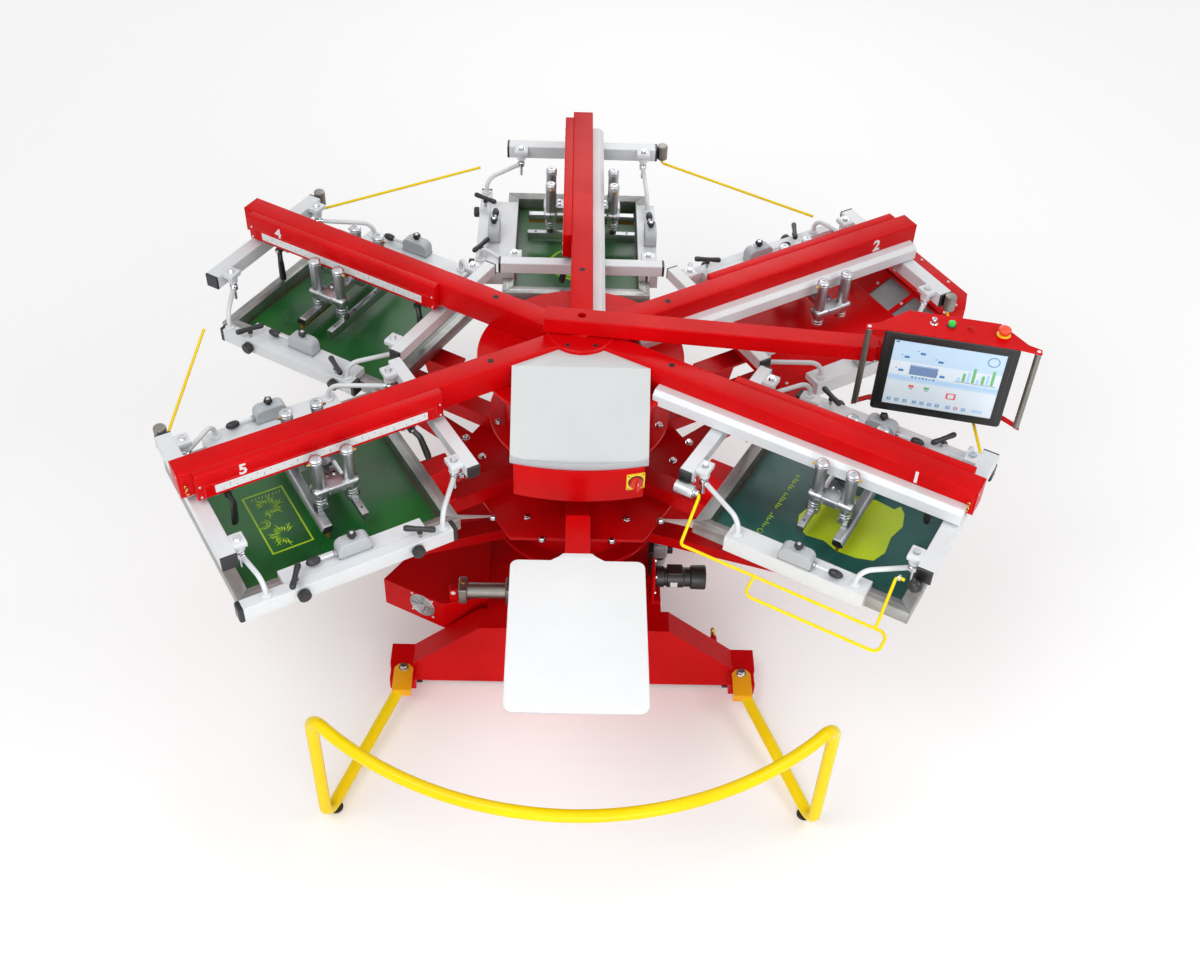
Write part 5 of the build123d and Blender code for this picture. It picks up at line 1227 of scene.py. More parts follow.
def addFlashWindows():
    x0, x1 = flash["step"] + 0.004, flash["crest"] - 0.003
    z0, z1 = flashSlope(x0) - grille["sink"], flashSlope(x1) - grille["sink"]
    parts = []
    for low, high in flash["rows"]:
        corners = [(x0, z0 - 0.006), (x1, z1 - 0.006), (x1, z1 - 0.0068), (x0, z0 - 0.0068)]
        parts.append(addOutline(corners, "y", low - 0.002, high + 0.002, "steel"))
        ends = []
        count = int((high - low) / grille["pitch"])
        for step in range(1, count):
            y = low + (high - low) * step / count
            ends.append(((x0, y, z0), (x1, y, z1)))
        for step in range(1, grille["across"]):
            share = step / grille["across"]
            x, z = x0 + (x1 - x0) * share, z0 + (z1 - z0) * share - 0.0015
            ends.append(((x, low - 0.002, z), (x, high + 0.002, z)))
        parts += [addRod(start, end, grille["wire"], 6, "steel") for start, end in ends]
    finishPiece("flashWindows", allPlaced(parts, onHead(2)), "frame", "steel", "flash_grilles")


def addFlashScrews():
    spots = [moved(x, y, flash["deck"] - 0.0002) for x, y in flashScrew["deck"]]
    spots += [moved(x, y, flash["top"] - 0.0002) for x, y in flashScrew["top"]]
    spots += [moved(x, y, flashSlope(x) - 0.0004) @ turned(flashScrew["lean"], "Y")
              for x, y in flashScrew["slope"]]
    screws = repeated([addScrew(flashScrew["radius"], "whiteCoat")], [onHead(2, spot) for spot in spots])
    finishPiece("flashScrews", screws, "frame", "white_coat")


addFlashHousing()
addFlashWindows()
addFlashScrews()
print("flash dryer made")


# drum, hub plate, column, pallets and the hood's lip

drum = {"low": 0.900, "flange": 0.300, "flangeHigh": 0.912, "radius": 0.250, "disc": 0.335, "discLow": 1.144,
        "top": 1.156, "cap": 1.2515, "boltRing": 0.275, "bolts": 12, "holeRing": 0.088}
hub = {"low": 0.442, "foot": 0.300, "core": 0.240, "plate": 0.440, "plateLow": 0.673, "plateHigh": 0.685,
       "ring": 0.180, "top": 0.850}
column = {"low": 0.310, "flange": 0.190, "flangeHigh": 0.330, "radius": 0.100, "sleeve": 0.1097,
          "sleeveFlange": 0.150, "lift": 0.126}
hood = {"half": 0.216, "front": -0.372, "bow": 0.028, "low": 1.016, "lipHigh": 1.042}
pallet = {"inner": 0.686, "outer": 1.243, "half": 0.203, "corner": 0.026, "low": 0.897, "high": 0.915,
          "neck": 0.656}


def stationTurn(number):
    return turned(-90 + 60 * number)


def addDrum():
    low, flange, high, radius = drum["low"], drum["flange"], drum["flangeHigh"], drum["radius"]
    disc, discLow, top, cap = drum["disc"], drum["discLow"], drum["top"], drum["cap"]
    body = addTurned([(flange - 0.002, low), (flange, low + 0.002), (flange, high - 0.002),
                      (flange - 0.002, high),
                      (radius, high), (radius, discLow), (disc - 0.0015, discLow), (disc, discLow + 0.0015),
                      (disc, top - 0.0015), (disc - 0.0015, top), (0.110, top), (0.110, cap - 0.003),
                      (0.1065, cap), (0.045, cap)], 120)
    notch = addBlock((-0.2163, 0.2163), (-0.340, -0.250), (discLow - 0.001, top + 0.001))
    bolts = [turned(step * 30 + 15) @ moved(drum["boltRing"], 0, high) for step in range(drum["bolts"])]
    holes = [turned(step * 60 + 60) @ moved(drum["holeRing"], 0, cap - 0.0001) for step in range(6)]
    # black rings in the cap's six holes: painted shade inside them
    holeShade = addTurned([(0.0078, 0.0), (0.0078, 0.0005), (0.0060, 0.0005), (0.0060, 0.0001)], 24, "blackCoat")
    parts = [paint(carve(body, notch), "redCoat"), *repeated([addBolt(0.011, 0.009, "chrome")], bolts),
             *repeated([holeShade], holes)]
    finishPiece("headDrum", parts, "frame", "red_coat", "head_drum")


def addHub():
    low, foot, core, ring, top = (hub[key] for key in ("low", "foot", "core", "ring", "top"))
    under, over = hub["plateLow"], hub["plateHigh"]
    # the hub takes the darkened red, painted shade below the pallets
    parts = [
        addTurned([(foot - 0.002, low), (foot, low + 0.002), (foot, low + 0.012), (foot - 0.002, low + 0.014),
                   (core, low + 0.014), (core, under)], 120, "darkRedAndShade"),
        addOutline(ringCorners(6, lambda step: hub["plate"]), "z", under, over, "darkRedAndShade", 0.002, 2),
        addTurned([(ring, over), (ring, top - 0.003), (ring - 0.003, top), (0.112, top)], 120, "darkRedAndShade"),
        addTurned([(ring + 0.006, over), (ring + 0.0045, over + 0.003), (ring, over + 0.006)], 120,
                  "darkRedAndShade")]
    places = [moved(0.386, 0.114, over), moved(0.386, -0.114, over), turned(30) @ moved(0.330, 0, over)]
    spots = [stationTurn(number) @ place for number in range(6) for place in places]
    parts += repeated([addBolt(0.011, 0.009, "chrome")], spots)
    finishPiece("hubPlate", parts, "carousel", "red_coat", "carousel_hub")


def addColumn():
    flange, high, radius = column["flange"], column["flangeHigh"], column["radius"]
    post = addTurned([(flange, column["low"]), (flange, high - 0.002), (flange - 0.002, high), (radius, high),
                      (radius, drum["low"])], 96, "steel")
    bolts = [turned(step * 45 + 22.5) @ moved(0.160, 0, high) for step in range(8)]
    lift = addTurned([(0.026, 0.330), (0.026, 0.345), (0.0245, 0.346), (0.0245, 0.384), (0.026, 0.385),
                      (0.026, 0.399), (0.024, 0.400), (0.0105, 0.400)], 40, "steel")
    sides = [moved(side * column["lift"], 0, 0) for side in (-1, 1)]
    parts = [post, *repeated([addBolt(0.010, 0.008, "darkSteel")], bolts), *repeated([lift], sides)]
    finishPiece("liftColumn", parts, "frame", "steel", "column")
    radius, flange = column["sleeve"], column["sleeveFlange"]
    sleeve = addTurned([(flange, 0.428), (flange, 0.4405), (flange - 0.0015, 0.442), (radius, 0.442),
                        (radius, 0.840), (0.1005, 0.840)], 96, "steel")
    rods = repeated([addRod((0, 0, 0.372), (0, 0, 0.430), 0.010, 28, "chrome")], sides)
    finishPiece("liftSleeve", [sleeve, *rods], "lift", "steel", "lift_sleeve")


def addPallets():
    low, high, inner, neck = (pallet[key] for key in ("low", "high", "inner", "neck"))
    span = roundedCorners((inner, pallet["outer"]), (-pallet["half"], pallet["half"]), pallet["corner"])
    board = addOutline(span, "z", low + 0.004, high, "palletCoat", 0.003, 3, 40)
    under = addOutline([(x * 0.998 + 0.0019, y * 0.995) for x, y in span], "z", low, low + 0.0042,
                       "aluminium", 0.001, 1, 40)
    tongue = addOutline([(inner + 0.004, -0.088), (inner + 0.004, 0.088), (0.670, 0.058), (neck, 0.044),
                         (neck, -0.044), (0.670, -0.058)], "z", low + 0.0005, high - 0.0005, "palletCoat",
                        0.003, 2)
    parts = repeated([board, under, tongue], [stationTurn(number) for number in range(6)])
    finishPiece("palletBoards", parts, "carousel", "white_coat", "pallets")


def bowLine(half, front, bow, count=24):
    # points of a shallow arc across the front, from left to right
    radius = (half * half + bow * bow) / (2 * bow)
    across = [-half + 2 * half * step / count for step in range(count + 1)]
    return [(x, front - bow + radius - math.sqrt(radius * radius - x * x)) for x in across]


def addHoodLip():
    # the light grey plastic lip along the hood's front edge
    outer = bowLine(hood["half"] + 0.0015, hood["front"] - 0.0015, hood["bow"])
    inner = bowLine(hood["half"] - 0.002, hood["front"] + 0.003, hood["bow"])
    lip = addOutline(outer + inner[::-1], "z", hood["low"] - 0.0005, hood["lipHigh"],
                     "greyPlastic", 0.0012, 2, 40)
    finishPiece("hoodLip", [lip], "frame", "grey_plastic")


addDrum()
addHub()
addColumn()
addPallets()
addHoodLip()
print("drum, hub, column and pallets made")


# base fittings: index drive, air unit, feet and safety bar

# start, end: the housing's slanting wall; share: how far along it the rosette sits
rosette = {"start": (-0.668, -0.252, 0.2745), "end": (-0.454, -0.364, 0.2745), "share": 0.65}
drive = {"x": (-0.398, -0.208), "y": -0.338, "z": 0.372, "radius": 0.030, "square": 0.034, "floor": 0.310}
motor = {"x": 0.276, "y": -0.283, "z": 0.400, "radius": 0.037, "floor": 0.310}
airUnit = {"x": 0.274, "y": -0.140, "low": 0.310}
feet = {"x": 0.575, "y": 0.410, "plate": 0.042, "inner": 0.300, "outer": 0.452, "drill": 0.335}
bar = {"radius": 0.020, "arc": 1.111, "middle": -0.244, "half": 42.5, "high": 0.567, "top": 0.060,
       "bend": 0.055, "steps": 48}
bracket = {"x": 0.590, "bolt": -0.476, "low": 0.110, "high": 0.116, "half": 0.033}


def addBearingDisc():
    # a ventilation rosette with rings, held by four screws on the index housing
    start, end = Vector(rosette["start"]), Vector(rosette["end"])
    outward = Vector((end.y - start.y, start.x - end.x, 0))
    spot = aimed(start.lerp(end, rosette["share"]), outward)
    plate = addTurned([(0.050, 0.0), (0.050, 0.0015), (0.0485, 0.0030), (0.0455, 0.0030), (0.0445, 0.0018),
                       (0.0405, 0.0018), (0.0395, 0.0036), (0.0365, 0.0036), (0.0355, 0.0022),
                       (0.0315, 0.0022), (0.0305, 0.0042), (0.0275, 0.0042), (0.0265, 0.0026),
                       (0.0225, 0.0026), (0.0215, 0.0048), (0.0185, 0.0048), (0.0175, 0.0032),
                       (0.0150, 0.0032), (0.0142, 0.0095), (0.0125, 0.0115)],
                      64, "steel", spot)
    spoke = addBlock((-0.0445, 0.0445), (-0.0011, 0.0011), (0.0030, 0.0050), "steel")
    screws = [spot @ turned(45 + step * 90) @ moved(0.058, 0, 0) for step in range(4)]
    parts = [plate, *repeated([spoke], [spot @ turned(step * 45) for step in range(4)]),
             *repeated([addScrew(0.0045, "whitePrint")], screws)]
    finishPiece("bearingDisc", parts, "frame", "steel", "bearing_disc")


def addIndexCylinder():
    x0, x1 = drive["x"]
    y, z, half, radius = drive["y"], drive["z"], drive["square"], drive["radius"] - 0.003
    screws = [moved(x0 + 0.0004, y + a, z + b) @ turned(-90, "Y") for a in (-0.025, 0.025)
              for b in (-0.025, 0.025)]
    parts = [
        addTurned([(radius, 0), (radius, x1 - x0)], 56, "satinSteel", moved(x0, y, z) @ turned(90, "Y")),
        *[addBlock((x, x + 0.030), (y - half, y + half), (z - half, z + half), "satinSteel", 0.0045)
          for x in (x0, x1 - 0.030)],
        *repeated([addScrew(0.0045, "darkSteel")], screws),
        addTurned([(0.007, 0), (0.007, 0.006), (0.0055, 0.007), (0.0055, 0.013)], 6, "brass",
                  moved(x0 + 0.015, y, z + half - 0.0005)),
        addBlock((x0 - 0.034, x0), (y - 0.014, y + 0.014), (0.325, z + 0.014), "redCoat", 0.005),
        addTurned([(0.0075, -0.0155), (0.0085, -0.0148), (0.0085, 0.0148), (0.0075, 0.0155)], 28,
                  "whitePrint", moved(x0 - 0.019, y, z) @ turned(90, "X")),
        addBlock((x1 - 0.028, x1 - 0.002), (y - 0.020, y + 0.020), (drive["floor"], z - half + 0.001),
                 "redCoat", 0.003, 2)]
    finishPiece("indexCylinder", parts, "frame", "aluminium", "index_cylinder")


def addIndexMotor():
    x, y, z, radius, floor = (motor[key] for key in ("x", "y", "z", "radius", "floor"))
    axis = moved(x, y, z) @ turned(90, "Y")
    body = addTube([(0.004, 0.0), (0, 0.004), (0, 0.030), (0.005, 0.032), (0.005, 0.040), (0, 0.042),
                    (0, 0.096), (0.003, 0.100), (0.003, 0.132)], radius, 0, 56, "blackPlastic")
    bell = addTube([(0.002, 0.120), (-0.005, 0.124), (-0.006, 0.170), (-0.0045, 0.174), (0.002, 0.174),
                    (0.003, 0.168)], radius, 0, 56, "blackPlastic")
    spots = [moved(x - 0.0002, y + a, z + b) @ turned(90, "Y") for a in (-0.038, 0.038)
             for b in (0.040, -0.040)]
    parts = [
        placed(body, axis), placed(bell, axis),
        addBlock((x + 0.040, x + 0.094), (y - 0.024, y + 0.024), (z + radius - 0.008, z + radius + 0.004),
                 "blackPlastic", 0.004),
        addBlock((x + 0.052, x + 0.076), (y - radius - 0.0002, y - radius + 0.010), (z - 0.012, z + 0.010),
                 "whitePrint"),
        addBlock((x - 0.010, x), (y - 0.048, y + 0.048), (floor, z + 0.048), "redCoat", 0.006),
        addBlock((x - 0.010, x + 0.024), (y - 0.048, y + 0.048), (floor, floor + 0.008), "redCoat", 0.002, 2),
        *repeated([addBolt(0.006, 0.005, "chrome")], spots)]
    finishPiece("indexMotor", parts, "frame", "black_plastic", "index_motor")


def addAirUnit():
    x, y, low = airUnit["x"], airUnit["y"], airUnit["low"]
    bowlSpot, knobSpot = moved(x + 0.026, y, low), moved(x + 0.026, y, 0)
    aim = moved(x + 0.050, y, low + 0.080) @ turned(90, "Y")
    knurl = ringCorners(64, lambda step: 0.0200 if step % 4 < 2 else 0.0188)
    grip = addOutline(knurl, "z", low + 0.1115, low + 0.143, "greyPlastic", 0.0015, 2, 60)
    needle = addBlock((-0.0008, 0.0008), (-0.003, 0.0115), (0.0172, 0.0176), "redPlastic")
    parts = [
        addBlock((x - 0.014, x), (y - 0.060, y + 0.060), (low, low + 0.120), "blackPlastic", 0.004),
        addBlock((x, x + 0.050), (y - 0.025, y + 0.025), (low + 0.050, low + 0.110), "greyPlastic", 0.007, 4),
        addBlock((x, x + 0.046), (y + 0.025, y + 0.060), (low + 0.060, low + 0.100), "greyPlastic", 0.005, 4),
        addTurned([(0.0205, 0.040), (0.0225, 0.0415), (0.0225, 0.0495), (0.0205, 0.051)], 40, "blackPlastic",
                  bowlSpot),
        addTurned([(0.0100, 0.0), (0.0160, 0.0022), (0.0205, 0.008), (0.0212, 0.015), (0.0212, 0.042)], 40,
                  "greyPlastic", bowlSpot),
        placed(grip, knobSpot),
        addTurned([(0.0175, low + 0.1425), (0.0165, low + 0.145)], 40, "greyPlastic", knobSpot),
        addTurned([(0.0175, 0.0), (0.019, 0.002), (0.019, 0.016), (0.0175, 0.019), (0.0158, 0.019),
                   (0.0150, 0.017)], 40, "blackPlastic", aim),
        addTurned([(0.0152, 0.0168), (0.0152, 0.0172)], 40, "whitePrint", aim),
        placed(needle, aim @ turned(-40)),
        addTurned([(0.0095, 0.0), (0.0105, 0.001), (0.0105, 0.010), (0.0080, 0.0115), (0.0080, 0.024),
                   (0.0070, 0.025), (0.0070, 0.028), (0.0080, 0.029), (0.0080, 0.036), (0.0066, 0.038),
                   (0.0040, 0.038), (0.0040, 0.030)], 28, "brass",
                  moved(x + 0.044, y + 0.043, low + 0.080) @ turned(90, "Y")),
        addTurned([(0.006, 0.0), (0.010, 0.001), (0.010, 0.016), (0.006, 0.020)], 20, "brass",
                  moved(x + 0.020, y + 0.043, low + 0.099))]
    finishPiece("airUnit", parts, "frame", "grey_plastic", "air_unit")


def addFeet():
    # levelling screws with lock nuts on drilled floor plates
    half, parts = feet["plate"], []
    for x in (-feet["x"], feet["x"]):
        for side in (-1, 1):
            plate = addBlock((x - half, x + half), sorted((side * feet["inner"], side * feet["outer"])),
                             (0.0, 0.008), "darkSteel", 0.0022, 2)
            drill = addTurned([(0.007, -0.002), (0.007, 0.012)], 32, "darkSteel",
                              moved(x, side * feet["drill"], 0))
            y = side * feet["y"]
            parts += [
                carve(plate, drill), addRod((x, y, 0.006), (x, y, 0.030), 0.0118, 24, "steel"),
                addTurned([(0.019, 0.0), (0.021, 0.0012), (0.021, 0.0088), (0.019, 0.010)], 6, "chrome",
                          moved(x, y, 0.0079))]
    finishPiece("levellingFeet", parts, "frame", "dark_steel", "levelling_feet")


def arcPoint(degrees):
    angle = math.radians(degrees)
    return Vector((bar["arc"] * math.sin(angle), bar["middle"] - bar["arc"] * math.cos(angle), bar["high"]))


def addSafetyBar():
    lean, steps = math.radians(bar["half"]), bar["steps"]
    corner = arcPoint(bar["half"]) + Vector((math.cos(lean), math.sin(lean), 0)) * bar["top"]
    foot = Vector((corner.x, corner.y, bar["radius"] + 0.006))
    tail = Vector((bracket["x"] + 0.008, -0.545, 0.0897))
    arc = [arcPoint(bar["half"] * (2 * step / steps - 1)) for step in range(1, steps)]
    left = [point * Vector((-1, 1, 1)) for point in (tail, foot, corner)]
    tube = addPipe([*left, *arc, corner, foot, tail], bar["radius"], bar["bend"], "yellowCoat")
    rest = foot + (tail - foot).normalized() * bar["bend"]
    pad = addTurned([(0.022, 0.0), (0.024, 0.0015), (0.024, 0.0045), (0.020, 0.006), (0.0125, 0.007),
                     (0.0115, 0.012)], 36, "blackPlastic")
    pads = repeated([pad], [moved(side * rest.x, rest.y, 0) for side in (-1, 1)])
    # folded brackets that hook the bar's ends over the leg tabs
    half = bracket["half"]
    plate = addOutline([(-half, -0.574), (half, -0.574), (half, -0.476), (0.0175, -0.459), (-0.0175, -0.459),
                        (-half, -0.476)], "z", bracket["low"], bracket["high"], "orangeCoat", 0.0018, 2)
    lip = addBlock((-half, half), (-0.5745, -0.5685), (0.082, 0.1155), "orangeCoat", 0.0022)
    bolt = placed(addBolt(0.0135, 0.012, "chrome"), moved(0, bracket["bolt"], bracket["high"]))
    brackets = repeated([plate, lip, bolt], [moved(side * bracket["x"], 0, 0) for side in (-1, 1)])
    finishPiece("safetyBar", [tube, *pads, *brackets], "frame", "yellow_coat", "safety_bar")


def addLegFitting():
    # brass hose fitting on the red stub of the right leg
    fitting = addTurned([(0.0102, 0.0), (0.0102, 0.008), (0.0088, 0.009), (0.0088, 0.014), (0.0098, 0.016),
                         (0.0088, 0.020), (0.0098, 0.022), (0.0088, 0.026), (0.0096, 0.028), (0.0084, 0.036),
                         (0.0060, 0.0385)], 28, "brass", moved(0.500, -0.3255, 0.130) @ turned(-90, "X"))
    finishPiece("legFitting", [fitting], "frame", "chrome")


addLegFitting()
addBearingDisc()
addIndexCylinder()
addIndexMotor()
addAirUnit()
addFeet()
addSafetyBar()
print("base fittings made")


# trip rods and guard

trip = {"x": 1.295, "y": -0.311, "low": 1.082, "high": 1.140, "radius": 0.020, "rod": 0.005, "level": 1.062,
        "turn": 31.5}
guard = {"hinge": -0.310, "high": 1.086, "lateral": -0.418, "low": 0.966, "inner": 0.596, "outer": 1.226,
         "stub": 0.025, "rod": 0.005, "bend": 0.011}
guardLoop = {"inner": 0.842, "outer": 1.264, "lateral": -0.486, "low": 0.951, "bend": 0.025}
guardSwitch = {"face": -0.291, "body": 0.515, "holder": 1.285, "ball": 0.0215, "rings": (0.5825, 1.2305)}


def makeSensor():
    # brushed metal switch body with a rounded crown and a collar for its rod
    low, high, radius = trip["low"], trip["high"], trip["radius"]
    spot = moved(trip["x"], trip["y"], 0)
    return [
        addTurned([(radius - 0.0015, low), (radius, low + 0.0015), (radius, high - 0.004),
                   (radius - 0.0015, high - 0.0012), (radius - 0.004, high), (0.006, high)], 48,
                  "satinSteel", spot),
        addTurned([(0.0075, low - 0.0065), (0.0088, low - 0.005), (0.0088, low + 0.001)], 28,
                  "satinSteel", spot)]


def makeGuardSwitch():
    # the guard's own sensor on the inner bar, its bracket on the outer bar, and a ring at each hinge
    face, high = guardSwitch["face"], guard["high"]
    ball = [(guardSwitch["ball"] * math.cos(angle), guardSwitch["ball"] * math.sin(angle))
            for angle in (math.radians(13 * step - 78) for step in range(13))]
    ring = addTurned([(0.0085, 0.0), (0.0095, 0.001), (0.0095, 0.008), (0.0085, 0.009)], 28, "chrome")
    return [
        addTurned([(0.0185, 0.0), (0.020, 0.0015), (0.020, 0.058), (0.0185, 0.0605), (0.012, 0.0615),
                   (0.012, 0.067)], 48, "aluminium",
                  moved(guardSwitch["body"], face - 0.020, high) @ turned(90, "Y")),
        addBlock((0.524, 0.552), (face - 0.024, face), (1.078, 1.100), "steel", 0.004),
        addTurned(ball, 40, "blackPlastic",
                  moved(guardSwitch["holder"], face - 0.024, high) @ turned(90, "Y")),
        *repeated([ring], [moved(x, guard["hinge"], high) @ turned(90, "Y") for x in guardSwitch["rings"]])]


def addTripRods():
    tripHeads = [number for number, look in heads.items() if look["trip"]]
    parts = repeated(makeSensor(), [onHead(number) for number in tripHeads])
    turn = math.radians(trip["turn"])
    way = Vector((-math.sin(turn), -math.cos(turn), 0))
    low = Vector((trip["x"], trip["y"], trip["level"]))
    for number in tripHeads:
        end = low + way * heads[number]["trip"]
        rod = addPipe([(trip["x"], trip["y"], trip["low"]), low, end], trip["rod"], 0.011, "yellowCoat")
        tip = addTurned([(0.0050, -0.0005), (0.0056, 0.0005), (0.0056, 0.010), (0.0040, 0.012)], 20,
                        "yellowCoat", aimed(end, way) @ moved(0, 0, -0.011))
        parts += allPlaced((rod, tip), onHead(number))
    parts += allPlaced(makeGuardSwitch(), onHead(1))
    finishPiece("tripRods", parts, "frame", "yellow_coat", "trip_rods")


def addGuard():
    hinge, side, high, low = (guard[key] for key in ("hinge", "lateral", "high", "low"))
    inner, outer, stub = guard["inner"], guard["outer"], guard["stub"]
    loopInner, loopOuter, loopSide, loopLow = (guardLoop[key] for key in ("inner", "outer", "lateral", "low"))
    parts = [
        addPipe([(inner - stub, hinge, high), (inner, hinge, high), (inner, side, low), (outer, side, low),
                 (outer, hinge, high), (outer + stub, hinge, high)], guard["rod"], guard["bend"],
                "yellowCoat"),
        addPipe([(loopInner, side, low), (loopInner, loopSide, loopLow), (loopOuter, loopSide, loopLow),
                 (loopOuter, side, low), (outer - 0.005, side, low)], guard["rod"], guardLoop["bend"],
                "yellowCoat"),
        addTurned([(0.0052, -0.004), (0.0066, -0.001), (0.0066, 0.001), (0.0052, 0.004)], 20, "yellowCoat",
                  moved(loopInner, side, low) @ turned(90, "Y"))]
    finishPiece("guardLoop", allPlaced(parts, onHead(1)), "guard_loop", "yellow_coat", "guard_loop")


addTripRods()
addGuard()
print("trip rods and guard made")


# main switch, touch panel and its buttons

panel = {"x": 1.127, "y": -0.199, "z": 1.089, "turn": -11.9, "half": 0.205, "high": 0.315, "deep": 0.024,
         "marginX": 0.034, "marginZ": 0.030, "shelf": 0.321, "handle": 0.255, "grip": 0.010, "low": 0.015,
         "line": 0.0012}
picture = {"half": 0.171, "low": 0.030, "high": 0.285, "layer": 0.00012}
# places of the buttons on the panel's shelf
button = {"key": (-0.063, 0.062), "start": (-0.009, 0.062), "stop": (0.149, 0.058), "push": (0.052, 0.060)}
switch = {"x": 0.178, "z": 0.962, "plate": (0.030, 0.033), "front": -0.380, "half": 0.205, "bow": 0.028}


def panelSpot(x=0.0, y=0.0, z=0.0):
    return moved(panel["x"], panel["y"], panel["z"]) @ turned(panel["turn"]) @ moved(x, y, z)


def addFlat(x0, x1, z0, z1, material, layer):
    # a thin element of the picture; those in a higher layer lie in front
    return addBlock((x0, x1), (0.0018 - layer * picture["layer"], 0.0020), (z0, z1), material)


def makePicture():
    # a plain control page: five head marks round a slate field, a chart, a dial and two rows of keys
    side, low, high = picture["half"], picture["low"], picture["high"]
    flats = [
        (-side, side, low, high, "uiWhite", 1), (-side, side, 0.205, high, "uiPale", 2),
        (-side, side, 0.128, 0.152, "uiPale", 2), (-side, side, 0.136, 0.146, "uiSky", 3),
        (-0.108, -0.022, 0.158, 0.196, "uiSlate", 4), (-0.104, -0.026, 0.1925, 0.1945, "uiSky", 5),
        (0.034, 0.160, 0.1565, 0.1580, "uiInk", 4), (0.020, 0.050, 0.082, 0.106, "uiRed", 4),
        (0.026, 0.044, 0.086, 0.102, "uiWhite", 5), (0.108, 0.142, 0.044, 0.055, "uiSky", 4),
        (-0.166, -0.156, 0.276, 0.281, "uiInk", 4)]
    for x, z in ((-0.078, 0.244), (-0.124, 0.224), (-0.020, 0.222), (-0.134, 0.170), (-0.006, 0.166)):
        flats += [(x - 0.008, x + 0.008, z - 0.004, z + 0.004, "uiBlue", 5),
                  (x - 0.006, x + 0.006, z + 0.005, z + 0.008, "uiSky", 5),
                  (x - 0.018, x - 0.014, z + 0.006, z + 0.009, "uiInk", 5)]
    for step in range(7):
        x = -0.098 + step * 0.011
        flats.append((x, x + 0.006, 0.146, 0.151 - 0.001 * (step % 3), "uiInk", 5))
    for step in range(8):
        x, tall = 0.040 + step * 0.0145, 0.012 * (step * 5 % 4) + 0.006 * (step % 2)
        flats.append((x, x + 0.009, 0.160, 0.176 + tall, ("uiSky", "uiGreen")[step % 2], 4))
    for x, material in ((-0.100, "uiRed"), (-0.052, "uiGreen")):
        flats += [(x, x + 0.016, 0.106, 0.116, material, 4),
                  (x + 0.003, x + 0.013, 0.100, 0.1025, "uiInk", 4)]
    for x in (-0.160, -0.136, -0.110, -0.080, -0.056, -0.032, -0.008, 0.026, 0.050, 0.074):
        flats += [(x, x + 0.017, 0.040, 0.058, "uiPale", 4),
                  (x + 0.003, x + 0.014, 0.044, 0.054, "uiSlate" if x != 0.050 else "uiRed", 5),
                  (x + 0.006, x + 0.011, 0.047, 0.051, "uiWhite", 6)]
    dial = addTurned([(0.019, 0.0), (0.019, 0.0003), (0.0155, 0.0003), (0.0155, 0.0)], 40, "uiSlate",
                     moved(0.136, 0.0016, 0.252) @ turned(90, "X"))
    return [addFlat(*flat) for flat in flats] + [dial]


def addPanel():
    half, high, deep, low = panel["half"], panel["high"], panel["deep"], panel["low"]
    shell = addOutline(roundedCorners((-half, half), (0.0, high), 0.012, 6), "y", 0.0, deep, edge=0.003)
    window = addBlock((-half + panel["marginX"], half - panel["marginX"]), (-0.002, 0.002),
                      (panel["marginZ"], high - panel["marginZ"]))
    parts = [paint(carve(shell, window), "blackPlastic")]
    # a fine seam round the bezel
    side, bottom, top, line = half - 0.016, 0.014, high - 0.015, panel["line"]
    for x, z in (((-side, side), (top - line, top)), ((-side, side), (bottom, bottom + line)),
                 ((-side, line - side), (bottom, top - 0.001)), ((side - line, side), (bottom, top - 0.001))):
        parts.append(addBlock(x, (-0.0004, 0.0006), z, "darkSteel"))
    parts += makePicture()
    finishPiece("touchPanel", allPlaced(parts, panelSpot()), "panel", "gloss_black", "touchscreen")
    grip = addRod((0, 0, low), (0, 0, high), panel["grip"], 40, "satinSteel", 0.001)
    caps = repeated([addTurned([(0.0062, 0.0), (0.0062, 0.0006), (0.0050, 0.0010)], 24, "whitePrint")],
                    [moved(0, 0, z) for z in (low - 0.0062, high + 0.0058)])
    grips = repeated([grip, *caps], [panelSpot(side * panel["handle"]) for side in (-1, 1)])
    finishPiece("panelHandles", grips, "panel", "steel", "panel_handles")


def addButton(name, parts, place, body, slot, *nodes):
    spot = panelSpot(*button[place], panel["shelf"])
    finishPiece(name, allPlaced(parts, spot), body, slot, *nodes)


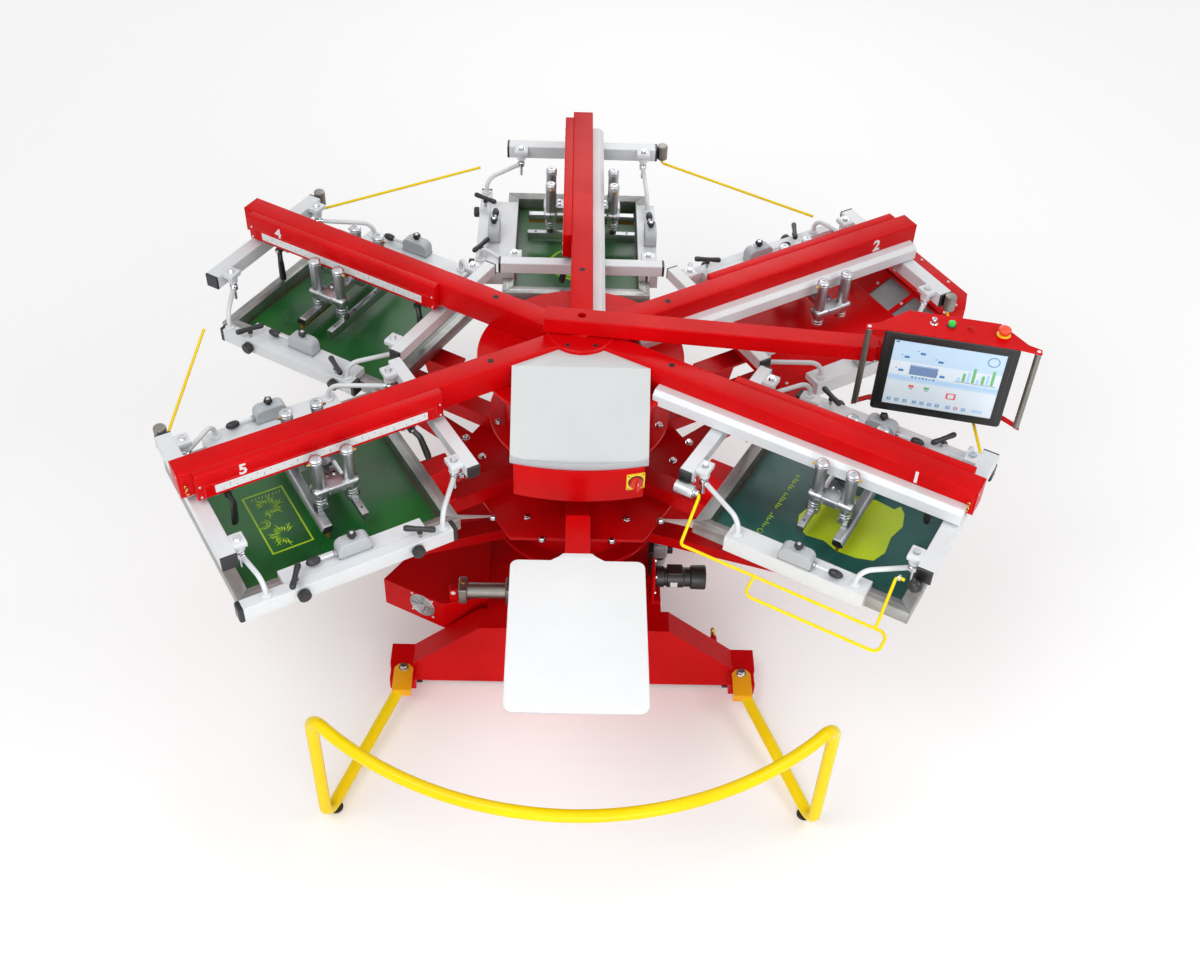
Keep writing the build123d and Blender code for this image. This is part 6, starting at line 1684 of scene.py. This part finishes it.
def addButtons():
    addButton("keySwitch", [
        addTurned([(0.0125, 0.0), (0.0125, 0.0010), (0.0112, 0.0022)], 36, "chrome"),
        addTurned([(0.0090, 0.002), (0.0090, 0.0165), (0.0080, 0.0185), (0.0060, 0.0190)], 36, "chrome"),
        addBlock((-0.0010, 0.0010), (-0.0050, 0.0050), (0.0186, 0.0194), "blackCoat"),
        addBlock((-0.0068, 0.0068), (-0.0012, 0.0012), (0.0185, 0.0200), "steel", 0.0005, 1),
    ], "key", "key_switch", "chrome", "key_switch")
    addButton("startButton", [
        addRod((0, 0, -0.008), (0, 0, 0.006), 0.0062, 28, "blackPlastic"),
        addTurned([(0.0110, 0.0046), (0.0110, 0.0140), (0.0095, 0.0158), (0.0060, 0.0168), (0.0020, 0.0170)],
                  44, "litGreen"),
    ], "start", "start_button", "green_plastic", "start_button")
    addButton("stopButton", [
        addTurned([(0.0120, 0.0), (0.0120, 0.0080)], 40, "redPlastic"),
        addTurned([(0.0125, 0.0070), (0.0175, 0.0095), (0.0198, 0.0140), (0.0200, 0.0185), (0.0186, 0.0225),
                   (0.0150, 0.0255), (0.0100, 0.0268), (0.0030, 0.0270)], 48, "mushroom"),
    ], "stop", "stop_button", "red_plastic", "stop_button")
    # fixed parts round the buttons: a yellow ring, a small dark red push button and a black collar
    ring = addTurned([(0.0215, 0.0), (0.0215, 0.0012), (0.0190, 0.0026), (0.0130, 0.0026)], 48,
                     "switchYellow")
    push = addTurned([(0.0130, 0.0), (0.0130, 0.0012), (0.0115, 0.0030), (0.0095, 0.0030), (0.0095, 0.0062),
                      (0.0080, 0.0072)], 40, "darkRedAndShade")
    collar = addTurned([(0.0145, 0.0), (0.0145, 0.0015), (0.0130, 0.0040), (0.0118, 0.0048)], 44)
    collar = paint(carve(collar, addTurned([(0.0114, -0.001), (0.0114, 0.006)], 44)), "blackPlastic")
    rings = [placed(part, panelSpot(*button[place], panel["shelf"]))
             for part, place in ((ring, "stop"), (push, "push"), (collar, "start"))]
    finishPiece("buttonRings", rings, "panel", "yellow_coat")


def addMainSwitch():
    radius = (switch["half"] ** 2 + switch["bow"] ** 2) / (2 * switch["bow"])
    lean = math.asin(switch["x"] / radius)
    front = switch["front"] - switch["bow"] + radius - radius * math.cos(lean)
    spot = moved(switch["x"], front, switch["z"]) @ Matrix.Rotation(lean, 4, "Z") @ turned(90, "X")
    wide, high = switch["plate"]
    plate = addOutline(roundedCorners((-wide, wide), (-high, high), 0.004, 4), "z", -0.0005, 0.0036,
                       "switchYellow", 0.0010, 2)
    shield = addTurned([(0.0250, 0.0030), (0.0250, 0.0046), (0.0238, 0.0054)], 48, "blackPlastic")
    spots = [moved(x, y, 0.0034) for y in (-0.027, 0.027) for x in (-0.024, 0.024)]
    fixed = [plate, shield, *repeated([addScrew(0.0026, "darkSteel")], spots)]
    finishPiece("switchPlate", allPlaced(fixed, spot), "frame", "yellow_coat")
    parts = [
        addTurned([(0.0200, 0.0046), (0.0210, 0.0060), (0.0210, 0.0150), (0.0198, 0.0175), (0.0160, 0.0182)],
                  48, "redPlastic"),
        addBlock((-0.0050, 0.0050), (-0.0190, 0.0190), (0.0170, 0.0325), "redPlastic", 0.0022),
        addBlock((-0.0008, 0.0008), (0.0080, 0.0180), (0.0322, 0.0328), "whitePrint")]
    finishPiece("mainSwitch", allPlaced(parts, spot), "main_switch", "red_plastic", "main_switch")


addPanel()
addButtons()
addMainSwitch()
print("panel and switches made")


# CAD nodes that stay keep their mesh and get softened edges and a finish

nodeFinish = {
    "redCoat": "base_frame index_housing switch_box control_arm panel_housing pallet_brackets",
    # the pallet arms take the darkened red as painted shade
    "darkRedAndShade": "pallet_arms",
    "whiteCoat": "rail_covers crossbars side_channels clamp_boxes",
    "hoodCoat": "front_hood",
    "aluminium": "slide_clamps",
    "darkSteel": "carriage_rails",
    "blackPlastic": "end_caps",
}
nodeEdge = {"width": 0.0012, "angle": 38, "weld": 0.00002}


def dressNode(node, material):
    obj = paint(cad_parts[node], material)
    weld = obj.modifiers.new("weld", "WELD")
    weld.merge_threshold = nodeEdge["weld"]
    flat = obj.modifiers.new("flat", "DECIMATE")
    flat.decimate_type = "DISSOLVE"
    flat.angle_limit = math.radians(1)
    edge = obj.modifiers.new("edge", "BEVEL")
    edge.width = nodeEdge["width"]
    edge.segments = 2
    edge.limit_method = "ANGLE"
    edge.angle_limit = math.radians(nodeEdge["angle"])
    edge.harden_normals = False


for material, names in nodeFinish.items():
    for node in names.split():
        dressNode(node, material)
print("CAD nodes dressed")
